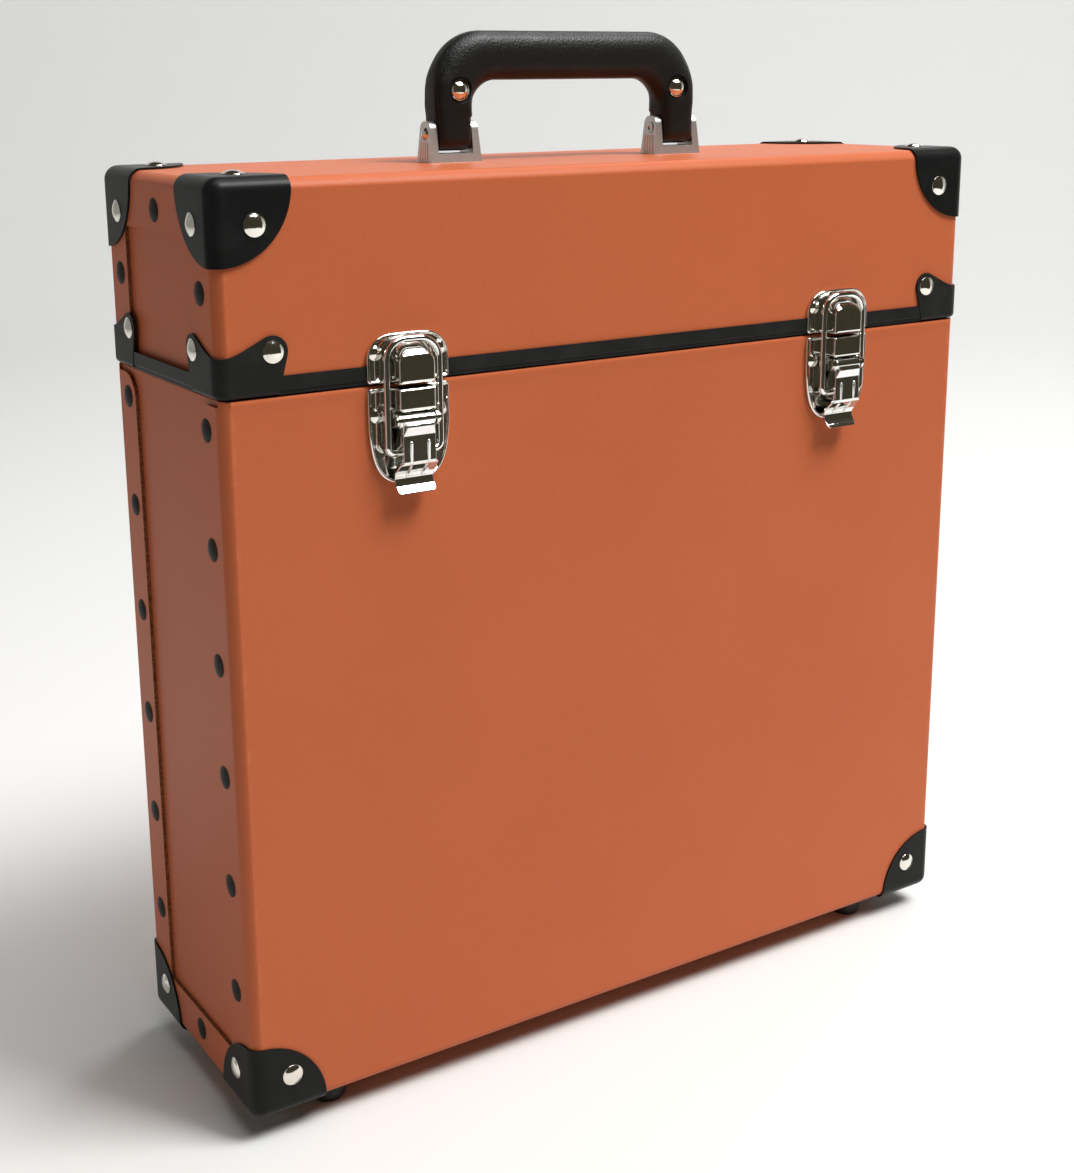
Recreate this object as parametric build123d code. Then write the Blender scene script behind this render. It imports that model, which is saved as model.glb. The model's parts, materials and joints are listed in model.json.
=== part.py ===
from build123d import *
import os
from math import atan2, degrees

os.makedirs("parts", exist_ok=True)

# A record carrying case: a tall body, a hinged lid with a carrying handle, and two draw latches.
# Lengths are millimetres. Pieces are built in case coordinates: x runs along the width, y from
# the front face at -case_depth / 2 to the back face at +case_depth / 2, and z = 0 is the
# underside of the body. save() moves each piece to the frame the files are written in, where
# z = 0 is the floor under the feet and the whole case is centred in x and y.

# The case.
case_width = 355.0
case_depth = 105.0
case_height = 354.0
body_height = 278.0
seam_gap = 1.2
board = 1.5
edge_radius = 4.5
flap_width = 22.0
flap_drop = 2.2
flap_corner_radius = 10.0
foot_height = 10.5

# Linings and the lip that locates the lid.
body_lining = 1.8
lid_lining = 1.5
lip_rise = 6.0
lip_inset = 0.8
lid_lining_setback = 8.0

# Three-way corner caps, each lobe a disc on its face: (centre from the edges, radius).
cap_thickness = 0.9
body_lobe = (7.0, 23.5)
lid_lobe = (4.0, 26.3)
cap_rivet_inset = 15.5
cap_block = 40.0

# The binding round the lid's rim.
web = 0.6
strip_thickness = 0.7
strip_height = 6.8
rim_corner_thickness = 0.9
rim_rivet_inset = 20.3
rim_rivet_rise = 15.5
ear_radius = 5.7
saddle_rise = 14.3
saddle_pull = ((11.5, 17.8), (6.5, 14.3))
rim_corner_foot = 22.0
rim_notch_clearance = 0.3

# Rivets: head radius, head height, shank radius.
cap_rivet = (4.75, 2.0, 1.6)
rim_rivet = (4.6, 1.9, 1.6)
flap_rivet = (4.4, 0.9, 1.4)
latch_rivet = (2.8, 1.2, 1.1)
hinge_rivet = (3.0, 1.0, 1.1)
handle_rivet = (4.1, 2.4, 1.7)
flap_rivet_inset = 13.0
flap_rivet_first = 49.5
flap_rivet_pitch = 43.5
flap_rivet_rows = 6
lid_flap_rivet_drop = 39.0

# Feet.
foot_inset_x = 38.0
foot_inset_y = 17.0
foot_radius = 7.0
foot_waist = 5.5
foot_shoulder = (6.35, 8.9)
foot_flat_radius = 4.6
foot_recess = (2.9, 3.5)
foot_screw_head = (2.6, 1.8)
foot_screw_socket = (1.3, 1.0)
foot_screw_radius = 1.5
foot_nut = (4.0, 0.8)

# Latches, each about its own centre line. "Proud" is the distance in front of the front face.
latch_x = 104.5
plate_half_width = 16.8
plate_top = 297.5
plate_bottom = 241.5
plate_shoulder = 259.0
plate_flank = (13.7, 247.5)
plate_foot_half_width = 7.5
plate_bends = (5.0, 8.0, 20.0)
catch_bend = 10.0
seam_bend = 1.5
plate_field = 1.1
plate_rim = 1.7
rim_bead = 1.4
rim_round = 0.6
plate_seam_margin = 0.2
hump_half_width = 7.6
hump_proud = 8.8
hump_wall = 1.1
hump_round = 1.2
hump_bottom = 269.2
ramp_low = 288.2
ramp_high = 296.7
arch_top = 296.0
arch_bend = 6.5
latch_rivet_x = 13.2
base_rivet_z = 267.7
catch_rivet_z = 290.6
dish_clearance = 0.2
pivot_proud = 7.2
pivot_z = 266.0
link_proud = 4.8
link_z = 253.9
lever_half_width = 6.7
lever_sheet = 1.1
tab_half_width = 8.2
knuckle_radius = 2.4
lever_pin_radius = 1.2
lever_pin_head = (1.9, 0.8)
lug_inner = 7.05
lug_thickness = 1.1
lug_radius = 2.6
lever_bend = 0.3
wire_radius = 1.3
wire_half_width = 10.9
wire_top = 295.3
wire_top_bend = 5.0
wire_foot_bend = 2.4
wire_end = 5.4
running_fit = 0.05

# The lever's side walls and its web with the finger tab, as (proud, z) points.
lever_reach = 10.4
cheek_points = (
    (8.9, 261.2), (8.2, 250.9), (3.4, 250.9), (2.9, 252.4),
    (2.9, 257.4), (4.4, 262.4), (6.2, 264.4), (8.6, 264.4),
)
web_points = (
    (8.6, 266.6), (10.1, 265.0), (lever_reach, 263.6), (9.3, 260.9), (9.2, 258.0), (8.6, 249.6),
    (7.5, 249.6), (8.1, 258.2), (8.2, 261.2), (8.1, 265.0),
)
tab_points = (
    (7.5, 250.6), (8.6, 250.6), (8.6, 249.9), (4.6, 246.0), (3.95, 244.0), (5.6, 240.2), (6.9, 237.8),
    (5.9, 237.4), (4.6, 239.8), (2.85, 243.9), (3.6, 246.6), (7.5, 250.0),
)
lever_hollow = (8.1, 264.8)
rib_x = 3.6
rib_radius = 0.75
rib_ends = ((9.05, 257.6), (8.6, 250.9))

# Back hinges.
hinge_x = 110.0
hinge_width = 30.0
hinge_axis_back = 3.2
barrel_radius = 2.8
hinge_pin_radius = 1.3
leaf_thickness = 1.6
leaf_height = 20.0
leaf_start = 2.3
leaf_corner = 4.0
leaf_rivet_x = 9.0
middle_knuckle = 12.0
knuckle_gap = 0.4

# Handle and its brackets. Heights are above the lid's top.
bracket_x = 54.6
bracket_width = 23.0
bracket_depth = 11.5
bracket_top_depth = 7.6
bracket_height = 15.9
bracket_floor = 3.4
bracket_slot = 16.1
bracket_lean = 0.9
bracket_ear_bend = 3.5
bracket_rivet_x = 4.6
flute_radius = 0.75
flute_rows = (-2.6, 0.0, 2.6)
flute_span = (0.8, 7.6)
flute_set_out = 0.1
pin_rise = 11.0
pin_inset = 0.7
pin_dome = (2.4, 1.5)
pin_ring = (2.3, 0.5)
pin_bore = 1.0
handle_pin_radius = 1.5
flush_head = (2.6, 1.0)
flush_shank = 1.5
grip_half_width = 64.4
grip_top = 50.3
grip_underside = 31.3
grip_thickness = 15.6
finger_half_gap = 45.2
grip_outer_radius = 25.0
grip_inner_radius = 12.5
shoulder_rise = 24.0
shoulder_radius = 9.0
leg_width = 15.5
leg_thickness = 11.0
leg_bottom = 4.4
leg_foot_radius = 4.6
leg_flare_rise = 16.8
core_eye_radius = 3.7
core_half_width = 4.5
core_bends = (20.0, 11.0)
grip_edge = 4.0
handle_rivet_x = 52.4
handle_rivet_rise = 27.6
handle_recess_radius = 5.3
handle_recess_floor = 6.1
core_thickness = 3.0
backing_thickness = 1.2
backing_half_depth = 8.0
backing_overhang = 13.0
backing_corner = 4.0

# How far the hinge barrels stand out behind the case, and where its middle lies in the frame.
barrel_reach = hinge_axis_back + barrel_radius
case_y = (lever_reach - barrel_reach) / 2

half_w = case_width / 2
half_d = case_depth / 2
rim_z = body_height + seam_gap
lid_board_z = rim_z + web
lid_depth = case_height - lid_board_z
hinge_z = body_height + seam_gap / 2
hinge_y = half_d + hinge_axis_back


def save(name, *shapes):
    """Write one node: the solids of one piece, or of a set of like fasteners."""
    place = Pos(0, case_y, foot_height)
    solids = [place * solid for shape in shapes for solid in shape.solids()]
    export_step(Compound(solids), "parts/" + name + ".step")


def slab(x0, x1, y0, y1, z0, z1):
    return Pos((x0 + x1) / 2, (y0 + y1) / 2, (z0 + z1) / 2) * Box(x1 - x0, y1 - y0, z1 - z0)


def rod_x(radius, x0, x1, y, z):
    return Pos((x0 + x1) / 2, y, z) * Rot(0, 90, 0) * Cylinder(radius, x1 - x0)


def rod_y(radius, y0, y1, x, z):
    return Pos(x, (y0 + y1) / 2, z) * Rot(90, 0, 0) * Cylinder(radius, y1 - y0)


def rod_z(radius, z0, z1, x, y):
    return Pos(x, y, (z0 + z1) / 2) * Cylinder(radius, z1 - z0)


def flip(shape, side):
    """The piece made for the right (+1), or its mirror image for the left (-1)."""
    return shape if side > 0 else mirror(shape, about=Plane.YZ)


def to_lid(shape):
    """A piece of a tray with its closed face at z = 0 turned over to close the case's top."""
    return Pos(0, 0, case_height) * mirror(shape, about=Plane.XY)


# Rivets.

def dome(radius, height):
    ball = (radius ** 2 + height ** 2) / (2 * height)
    cap = Pos(0, 0, height - ball) * Sphere(ball)
    return cap & slab(-radius, radius, -radius, radius, 0, height)


def rivet(kind, depth):
    radius, height, shank = kind
    return dome(radius, height) + Pos(0, 0, -depth / 2) * Cylinder(shank, depth)


def seat(point, outward, shape):
    return Plane(origin=point, z_dir=outward) * shape


def shanks(kind, depth, seats):
    hole = Pos(0, 0, -depth / 2) * Cylinder(kind[2], depth + 4)
    return [seat(point, outward, hole) for point, outward in seats]


def riveted(kind, depth, seats):
    return [seat(point, outward, rivet(kind, depth)) for point, outward in seats]


# Trays: the body stands as built, the lid is the same tray turned over. A tray's closed face is
# at z = 0 and it opens at z = height.

def envelope(grow, height):
    box = slab(-half_w - grow, half_w + grow, -half_d - grow, half_d + grow, -grow, height)
    rounded = box.edges().filter_by(lambda edge: edge.center().Z < height - 1)
    return fillet(rounded, edge_radius + grow)


def flap_window(height):
    """The part of a side wall between the folded flaps, where only the side panel shows."""
    reach = half_d - edge_radius
    top = height - flap_drop
    span = height + 10 - edge_radius
    window = Pos(0, edge_radius + span / 2) * Rectangle(2 * reach, span)
    for side in (-1, 1):
        flap = Pos(side * (half_d - flap_width / 2), top / 2) * Rectangle(flap_width, top)
        inner = flap.vertices().sort_by(Axis.Y)[-2:].sort_by(lambda v: abs(v.X))[0]
        window -= fillet(inner, flap_corner_radius)
    window -= Pos(0, flap_width / 2) * Rectangle(case_depth, flap_width)
    return extrude(Plane.YZ.offset(half_w - board - 0.5) * window, board + 2, dir=(1, 0, 0))


def wrap(height):
    shell = envelope(0, height) - envelope(-board, height + 5)
    window = flap_window(height)
    return shell - [window, mirror(window, about=Plane.YZ)]


def side_panel(height):
    sheet = slab(half_w - 2 * board, half_w - board, -half_d, half_d, 0, height)
    return sheet & envelope(-board, height + 5)


def lining(thickness, height):
    x = half_w - 2 * board
    y = half_d - board
    outer = slab(-x, x, -y, y, board, height)
    outer = fillet(outer.edges().filter_by(lambda e: e.center().Z < height - 1), edge_radius - board)
    x -= thickness
    y -= thickness
    inner = slab(-x, x, -y, y, board + thickness, height + 5)
    closed_end = inner.edges().filter_by(lambda e: e.center().Z < height)
    return outer - fillet(closed_end, edge_radius - board - thickness)


def lip():
    """The top of the body's lining, which stands out of the body and locates the lid."""
    x = half_w - 2 * board - lip_inset
    y = half_d - board - lip_inset
    low = body_height
    high = body_height + lip_rise
    ring = extrude(Pos(0, 0, low) * RectangleRounded(2 * x, 2 * y, edge_radius - board), lip_rise)
    x -= body_lining - lip_inset
    y -= body_lining - lip_inset
    hole = slab(-x, x, -y, y, low - 1, high + 1)
    return ring - fillet(hole.edges().filter_by(Axis.Z), edge_radius - board - body_lining)


def corner_cap(lobe):
    """The three-way cap over the left front corner of a tray's closed face."""
    centre, radius = lobe
    shell = envelope(cap_thickness, cap_block) - envelope(0, cap_block + 5)
    x = -half_w + centre
    y = -half_d + centre
    lobes = rod_y(radius, -half_d - 2, -half_d + edge_radius, x, centre)
    lobes += rod_x(radius, -half_w - 2, -half_w + edge_radius, y, centre)
    lobes += rod_z(radius, -2, edge_radius, x, y)
    return (shell & lobes).solid() - shanks(cap_rivet, 2, cap_rivet_seats(-1, -1))


def cap_rivet_seats(side_x, side_y):
    """Where the three rivets of one corner cap sit, each with its outward direction."""
    x = side_x * (half_w - cap_rivet_inset)
    y = side_y * (half_d - cap_rivet_inset)
    face_x = side_x * (half_w + cap_thickness)
    face_y = side_y * (half_d + cap_thickness)
    return [
        ((x, face_y, cap_rivet_inset), (0, side_y, 0)),
        ((face_x, y, cap_rivet_inset), (side_x, 0, 0)),
        ((x, y, -cap_thickness), (0, 0, -1)),
    ]


def four_corners(make):
    return [item for sx in (-1, 1) for sy in (-1, 1) for item in make(sx, sy)]


def cap_seats():
    return four_corners(cap_rivet_seats)


def side_seats(places):
    """Rivet seats on both sides, from (y, z) places."""
    return [((side * half_w, y, z), (side, 0, 0)) for side in (-1, 1) for y, z in places]


def body_flap_places():
    y = half_d - flap_rivet_inset
    rows = [flap_rivet_first + flap_rivet_pitch * row for row in range(flap_rivet_rows)]
    return [(side * y, z) for side in (-1, 1) for z in rows] + [(0, flap_rivet_inset)]


def lid_flap_places():
    y = half_d - flap_rivet_inset
    return [(-y, lid_flap_rivet_drop), (y, lid_flap_rivet_drop), (0, flap_rivet_inset)]


def cap_pieces(prefix, lobe, place):
    corner = corner_cap(lobe)
    for side_x, left_right in ((-1, "left"), (1, "right")):
        for side_y, front_back in ((-1, "front"), (1, "back")):
            piece = corner if side_x < 0 else mirror(corner, about=Plane.YZ)
            piece = piece if side_y < 0 else mirror(piece, about=Plane.XZ)
            save(prefix + "_corner_" + front_back + "_" + left_right, place(piece))


def cap_rivet_pieces():
    """Rivets through a cap and the boards behind it: one board, or flap and panel at a side."""
    pieces = []
    for point, outward in cap_seats():
        boards = 2 * board if outward[0] else board
        pieces.append(seat(point, outward, rivet(cap_rivet, cap_thickness + boards)))
    return pieces


# The rim binding of the lid.

def rim_corner_outline():
    """One half of a rim corner, laid flat: x from the case's corner, y up from the rim."""
    base = Line((0, 0), (rim_corner_foot, 0))
    tip = (rim_rivet_inset + ear_radius, rim_rivet_rise - 1)
    flank = Line((rim_corner_foot, 0), tip)
    left = (rim_rivet_inset - 0.45 * ear_radius, rim_rivet_rise + 0.893 * ear_radius)
    top = (rim_rivet_inset + 0.6 * ear_radius, rim_rivet_rise + 0.8 * ear_radius)
    ear = ThreePointArc(tip, top, left)
    saddle = Bezier(left, *saddle_pull, (0, saddle_rise))
    edge = Line((0, saddle_rise), (0, 0))
    return make_face([base, flank, ear, saddle, edge])


def rim_corner_prism():
    front = Plane(origin=(-half_w, -half_d + edge_radius, rim_z), x_dir=(1, 0, 0), z_dir=(0, -1, 0))
    side = Plane(origin=(-half_w - 2, -half_d, rim_z), x_dir=(0, 1, 0), z_dir=(1, 0, 0))
    outline = rim_corner_outline()
    depth = edge_radius + 2
    return extrude(front * outline, depth, dir=(0, -1, 0)) + extrude(side * outline, depth, dir=(1, 0, 0))


def rim_skin(thickness, height):
    width = case_width + 2 * thickness
    depth = case_depth + 2 * thickness
    outer = RectangleRounded(width, depth, edge_radius + thickness)
    ring = outer - RectangleRounded(case_width, case_depth, edge_radius)
    return extrude(Pos(0, 0, rim_z) * ring, height)


def rim_web():
    x = half_w - 2 * board
    y = half_d - board
    ring = RectangleRounded(case_width, case_depth, edge_radius) - Rectangle(2 * x, 2 * y)
    return extrude(Pos(0, 0, rim_z) * ring, web)


def rim_corner_block():
    reach = rim_corner_foot
    return slab(-half_w - 2, -half_w + reach, -half_d - 2, -half_d + reach, rim_z, rim_z + web)


def rim_corner():
    skin = rim_skin(rim_corner_thickness, 30) & rim_corner_prism()
    return (skin + (rim_web() & rim_corner_block())) - shanks(rim_rivet, 2, rim_rivet_seats(-1, -1))


def rim_rivet_seats(side_x, side_y):
    x = side_x * (half_w - rim_rivet_inset)
    y = side_y * (half_d - rim_rivet_inset)
    z = rim_z + rim_rivet_rise
    return [
        ((x, side_y * (half_d + rim_corner_thickness), z), (0, side_y, 0)),
        ((side_x * (half_w + rim_corner_thickness), y, z), (side_x, 0, 0)),
    ]


def all_corners(shape):
    right = mirror(shape, about=Plane.YZ)
    return [shape, right, mirror(shape, about=Plane.XZ), mirror(right, about=Plane.XZ)]


def rim_strips():
    """The four strips, each with its web under the boards, notched where a plate or leaf lies."""
    band = rim_skin(strip_thickness, strip_height) - all_corners(rim_corner_prism())
    edging = rim_web() - all_corners(rim_corner_block())
    low = rim_z - 1
    high = rim_z + strip_height + 1
    notches = []
    for side in (-1, 1):
        x = side * latch_x
        reach = plate_half_width + rim_notch_clearance
        notches.append(slab(x - reach, x + reach, -half_d - 2, -half_d, low, high))
        x = side * hinge_x
        reach = hinge_width / 2 + rim_notch_clearance
        notches.append(slab(x - reach, x + reach, half_d, half_d + 2, low, high))
    whole = (band - notches) + edging
    inner_x = half_w - 10
    inner_y = half_d - 10
    cuts = {
        "front": slab(-half_w, half_w, -half_d - 2, -inner_y, low, high),
        "back": slab(-half_w, half_w, inner_y, half_d + 2, low, high),
        "left": slab(-half_w - 2, -inner_x, -half_d, half_d, low, high),
        "right": slab(inner_x, half_w + 2, -half_d, half_d, low, high),
    }
    return {name: whole & cut for name, cut in cuts.items()}


# Latches. Each is drawn about x = 0 in the plane of the front face: "proud" is the distance
# in front of that face.

def front_sketch(sketch, proud=0.0):
    plane = Plane(origin=(0, -half_d - proud, 0), x_dir=(1, 0, 0), z_dir=(0, -1, 0))
    return plane * sketch


def raised(sketch, amount, proud=0.0):
    """An outline in the front face, extruded outwards."""
    return extrude(front_sketch(sketch, proud), amount, dir=(0, -1, 0))


def profiled(sketch, half_width):
    """A section of (proud, z) points, extruded both ways across the latch."""
    plane = Plane(origin=(-half_width, -half_d, 0), x_dir=(0, -1, 0), z_dir=(-1, 0, 0))
    return extrude(plane * sketch, 2 * half_width, dir=(1, 0, 0))


def polygon(points):
    return make_face(Polyline(*points, close=True))


def base_outline():
    top = body_height - plate_seam_margin
    heights = (plate_bottom, plate_flank[1], plate_shoulder, top)
    right = [(plate_half_width, top), (plate_half_width, plate_shoulder), plate_flank]
    right.append((plate_foot_half_width, plate_bottom))
    left = [(-x, z) for x, z in reversed(right)]
    outline = polygon(right + left)
    for height, bend in zip(heights, plate_bends + (seam_bend,)):
        outline = fillet([v for v in outline.vertices() if abs(v.Y - height) < 0.01], bend)
    return outline


def catch_outline():
    bottom = rim_z + plate_seam_margin
    height = plate_top - bottom
    outline = Pos(0, bottom + height / 2) * Rectangle(2 * plate_half_width, height)
    outline = fillet([v for v in outline.vertices() if v.Y > plate_top - 1], catch_bend)
    return fillet([v for v in outline.vertices() if v.Y < bottom + 0.1], seam_bend)


def dished_plate(outline):
    plate = raised(outline, plate_rim)
    front = plate.faces().sort_by(Axis.Y)[0]
    plate = fillet(front.edges(), rim_round)
    return plate - raised(offset(outline, -rim_bead), 2.0, plate_field)


def base_hump():
    top = body_height - plate_seam_margin
    block = slab(-hump_half_width, hump_half_width, -half_d - hump_proud, -half_d, hump_bottom, top)
    return fillet(block.edges().filter_by(lambda e: e.center().Y < -half_d - 1), hump_round)


def catch_hump():
    bottom = rim_z + plate_seam_margin
    ramp = polygon([(0, bottom), (hump_proud, bottom), (hump_proud, ramp_low), (0, ramp_high)])
    height = arch_top - bottom
    arch = Pos(0, bottom + height / 2) * Rectangle(2 * hump_half_width, height)
    arch = fillet([v for v in arch.vertices() if v.Y > arch_top - 1], arch_bend)
    block = profiled(ramp, hump_half_width + 1) & raised(arch, hump_proud + 1)
    front = block.faces().sort_by(Axis.Y)[0]
    return fillet(front.edges(), hump_round)


def hump_hollow(bottom, top):
    x = hump_half_width - hump_wall
    return slab(-x, x, -half_d - hump_proud + hump_wall, -half_d + 1, bottom + hump_wall, top - hump_wall)


def lever_pivot_y():
    return -half_d - pivot_proud


def rivet_dishes(z):
    """Flats that let the rivets' heads down into a plate's rim."""
    dish = Pos(0, 0, plate_rim / 2) * Cylinder(latch_rivet[0] + dish_clearance, plate_rim)
    return [seat(point, outward, dish) for point, outward in latch_seats(0, z)]


def latch_base():
    plate = dished_plate(base_outline()) + base_hump()
    y = lever_pivot_y()
    for side in (-1, 1):
        x0, x1 = sorted((side * lug_inner, side * (lug_inner + lug_thickness)))
        lug = slab(x0, x1, y, -half_d - plate_field + 0.3, pivot_z - lug_radius, pivot_z + lug_radius)
        plate += lug + rod_x(lug_radius, x0, x1, y, pivot_z)
    holes = shanks(latch_rivet, plate_field, latch_seats(0, base_rivet_z))
    holes.append(rod_x(lever_pin_radius, -20, 20, y, pivot_z))
    holes.append(hump_hollow(hump_bottom, body_height - plate_seam_margin))
    return plate - holes - rivet_dishes(base_rivet_z)


def latch_catch():
    bottom = rim_z + plate_seam_margin
    plate = dished_plate(catch_outline()) + catch_hump()
    holes = shanks(latch_rivet, plate_field, latch_seats(0, catch_rivet_z))
    holes.append(hump_hollow(bottom, ramp_low + 1))
    return plate - holes - rivet_dishes(catch_rivet_z)


def latch_seats(x, z):
    y = -half_d - plate_field
    return [((x + side * latch_rivet_x, y, z), (0, -1, 0)) for side in (-1, 1)]


def lever_pin():
    y = lever_pivot_y()
    radius, height = lever_pin_head
    head = lug_inner + lug_thickness
    pin = rod_x(lever_pin_radius, -head, head, y, pivot_z)
    for side in (-1, 1):
        x0, x1 = sorted((side * head, side * (head + height)))
        pin += rod_x(radius, x0, x1, y, pivot_z)
    return pin


def pressed(points, bend, half_width):
    """A (proud, z) section with every corner eased, extruded across the latch."""
    section = polygon(points)
    section = fillet(section.vertices(), bend)
    return profiled(section, half_width)


def bead(x, radius, start, end):
    """A raised rib with rounded ends between two (proud, z) points."""
    rise = end[1] - start[1]
    run = end[0] - start[0]
    length = (rise ** 2 + run ** 2) ** 0.5
    ends = [Pos(0, 0, side * length / 2) * Sphere(radius) for side in (-1, 1)]
    rib = Cylinder(radius, length) + ends
    middle = Pos(x, -half_d - (start[0] + end[0]) / 2, (start[1] + end[1]) / 2)
    return middle * Rot(degrees(atan2(run, rise)), 0, 0) * rib


def latch_lever():
    """The pull lever: a channel on its pivot, a kinked web, and a finger tab."""
    y = lever_pivot_y()
    inside = lever_half_width - lever_sheet
    depth, top = lever_hollow
    cheeks = profiled(polygon(cheek_points), lever_half_width)
    cheeks -= slab(-inside, inside, -half_d - depth, -half_d, plate_bottom, top)
    lever = cheeks + rod_x(knuckle_radius, -lever_half_width, lever_half_width, y, pivot_z)
    lever += pressed(web_points, lever_bend, lever_half_width)
    lever += pressed(tab_points, lever_bend, tab_half_width)
    for x in (-rib_x, rib_x):
        lever += bead(x, rib_radius, *rib_ends)
    lever -= rod_x(lever_pin_radius + running_fit, -20, 20, y, pivot_z)
    return lever - rod_x(wire_radius + running_fit, -20, 20, -half_d - link_proud, link_z)


def latch_bail():
    """The wire loop that the lever draws down over the catch."""
    x = wire_half_width
    points = [(-wire_end, link_z), (-x, link_z), (-x, wire_top)]
    points += [(x, wire_top), (x, link_z), (wire_end, link_z)]
    bends = [wire_foot_bend, wire_top_bend, wire_top_bend, wire_foot_bend]
    path = front_sketch(FilletPolyline(*points, radius=bends), link_proud)
    start = Plane(origin=path @ 0, z_dir=path % 0)
    return sweep(start * Circle(wire_radius), path=path)


# Back hinges.

def leaf(direction):
    """One leaf about x = 0: direction -1 hangs down the body, +1 stands up the lid."""
    z0, z1 = sorted((hinge_z + direction * leaf_start, hinge_z + direction * (leaf_start + leaf_height)))
    plate = slab(-hinge_width / 2, hinge_width / 2, half_d, half_d + leaf_thickness, z0, z1)
    free = [e for e in plate.edges().filter_by(Axis.Y) if abs(e.center().Z - hinge_z) > leaf_height]
    plate = fillet(free, leaf_corner)
    if direction > 0:
        spans = [(-middle_knuckle / 2, middle_knuckle / 2)]
    else:
        inner = middle_knuckle / 2 + knuckle_gap
        spans = [(-hinge_width / 2, -inner), (inner, hinge_width / 2)]
    for x0, x1 in spans:
        foot = sorted((hinge_z + direction * 1.2, hinge_z + direction * barrel_radius))
        plate += slab(x0, x1, half_d, hinge_y, foot[0], foot[1])
        plate += rod_x(barrel_radius, x0, x1, hinge_y, hinge_z)
    bore = hinge_pin_radius + (running_fit if direction > 0 else 0)
    plate -= rod_x(bore, -hinge_width, hinge_width, hinge_y, hinge_z)
    return plate - shanks(hinge_rivet, leaf_thickness, leaf_seats(0, direction))


def leaf_seats(x, direction):
    z = hinge_z + direction * (leaf_start + leaf_height / 2 + 1)
    y = half_d + leaf_thickness
    return [((x + side * leaf_rivet_x, y, z), (0, 1, 0)) for side in (-1, 1)]


# Handle and its brackets, about x = 0 for the right-hand one.

def lid_top(rise):
    return case_height + rise


def across(face, depth):
    """A face of (x, rise) points extruded both ways about the case's middle plane."""
    plane = Plane(origin=(0, depth / 2, case_height), x_dir=(1, 0, 0), z_dir=(0, -1, 0))
    return extrude(plane * face, depth, dir=(0, -1, 0))


def along(face, reach):
    """A face of (y, rise) points extruded both ways along the handle."""
    plane = Plane(origin=(-reach, 0, case_height), x_dir=(0, 1, 0), z_dir=(1, 0, 0))
    return extrude(plane * face, 2 * reach, dir=(1, 0, 0))


def bracket():
    """A clevis with tapering fluted ears, open along y for the handle's leg."""
    low = bracket_width / 2
    high = low - bracket_lean
    rise = bracket_height
    body = across(polygon([(-low, 0), (low, 0), (high, rise), (-high, rise)]), bracket_depth)
    half = bracket_depth / 2
    top = bracket_top_depth / 2
    side_view = polygon([(-half, 0), (half, 0), (top, rise), (-top, rise)])
    side_view = fillet([v for v in side_view.vertices() if v.Y > 1], bracket_ear_bend)
    body = body & along(side_view, bracket_width)
    slot = bracket_slot / 2
    cuts = [slab(-slot, slot, -20, 20, lid_top(bracket_floor), lid_top(40))]
    flute_low, flute_high = flute_span
    for side in (-1, 1):
        for y in flute_rows:
            x = side * (low + flute_set_out)
            cuts.append(rod_z(flute_radius, lid_top(flute_low), lid_top(flute_high), x, y))
    cuts.append(rod_x(handle_pin_radius, -20, 20, 0, lid_top(pin_rise)))
    body -= cuts
    return body - [seat(point, (0, 0, 1), flush_rivet()) for point in bracket_seats()]


def bracket_seats():
    return [(side * bracket_rivet_x, 0, lid_top(bracket_floor)) for side in (-1, 1)]


def flush_rivet():
    """A countersunk rivet through the bracket, the lid's top, its lining and the backing strap."""
    radius, height = flush_head
    depth = bracket_floor + board + lid_lining + backing_thickness
    head = Pos(0, 0, -height / 2) * Cylinder(radius, height)
    tail = Pos(0, 0, -depth) * Rot(180, 0, 0) * dome(radius, height)
    return head + Pos(0, 0, -depth / 2) * Cylinder(flush_shank, depth) + tail


def handle_pin():
    """The pin of the right-hand bracket, domed outside and hollow inside."""
    half = bracket_width / 2 - pin_inset
    z = lid_top(pin_rise)
    bore = rod_x(pin_bore, -half - 2, -half + 3, 0, z)
    pin = rod_x(handle_pin_radius, -half, half, 0, z)
    head = seat((half - 0.1, 0, z), (1, 0, 0), dome(*pin_dome))
    ring = rod_x(pin_ring[0], -half - pin_ring[1], -half + 0.1, 0, z) - bore
    return (pin - bore) + head + ring


def pin_recess():
    """Room in a bracket's outer faces for the pin's head and ring."""
    half = bracket_width / 2 - pin_inset
    z = lid_top(pin_rise)
    outer = rod_x(pin_dome[0] + running_fit, half - 0.15, half + 3, 0, z)
    return [outer, rod_x(pin_ring[0] + running_fit, -half - 3, -half + 0.15, 0, z)]


def grip_outline():
    """The arch of the handle with its legs, as (x, rise) points."""
    outer = grip_half_width
    inner = finger_half_gap
    low = leg_bottom - 2
    foot_outer = bracket_x + leg_width / 2
    foot_inner = bracket_x - leg_width / 2
    right = [(outer, grip_top), (outer, shoulder_rise), (foot_outer, leg_flare_rise), (foot_outer, low)]
    right += [(foot_inner, low), (foot_inner, leg_flare_rise), (inner, grip_underside)]
    outline = polygon(right + [(-x, rise) for x, rise in reversed(right)])
    outline = fillet([v for v in outline.vertices() if v.Y > grip_top - 1], grip_outer_radius)
    outline = fillet([v for v in outline.vertices() if abs(v.Y - grip_underside) < 0.1], grip_inner_radius)
    return fillet([v for v in outline.vertices() if abs(v.Y - shoulder_rise) < 0.1], shoulder_radius)


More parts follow.
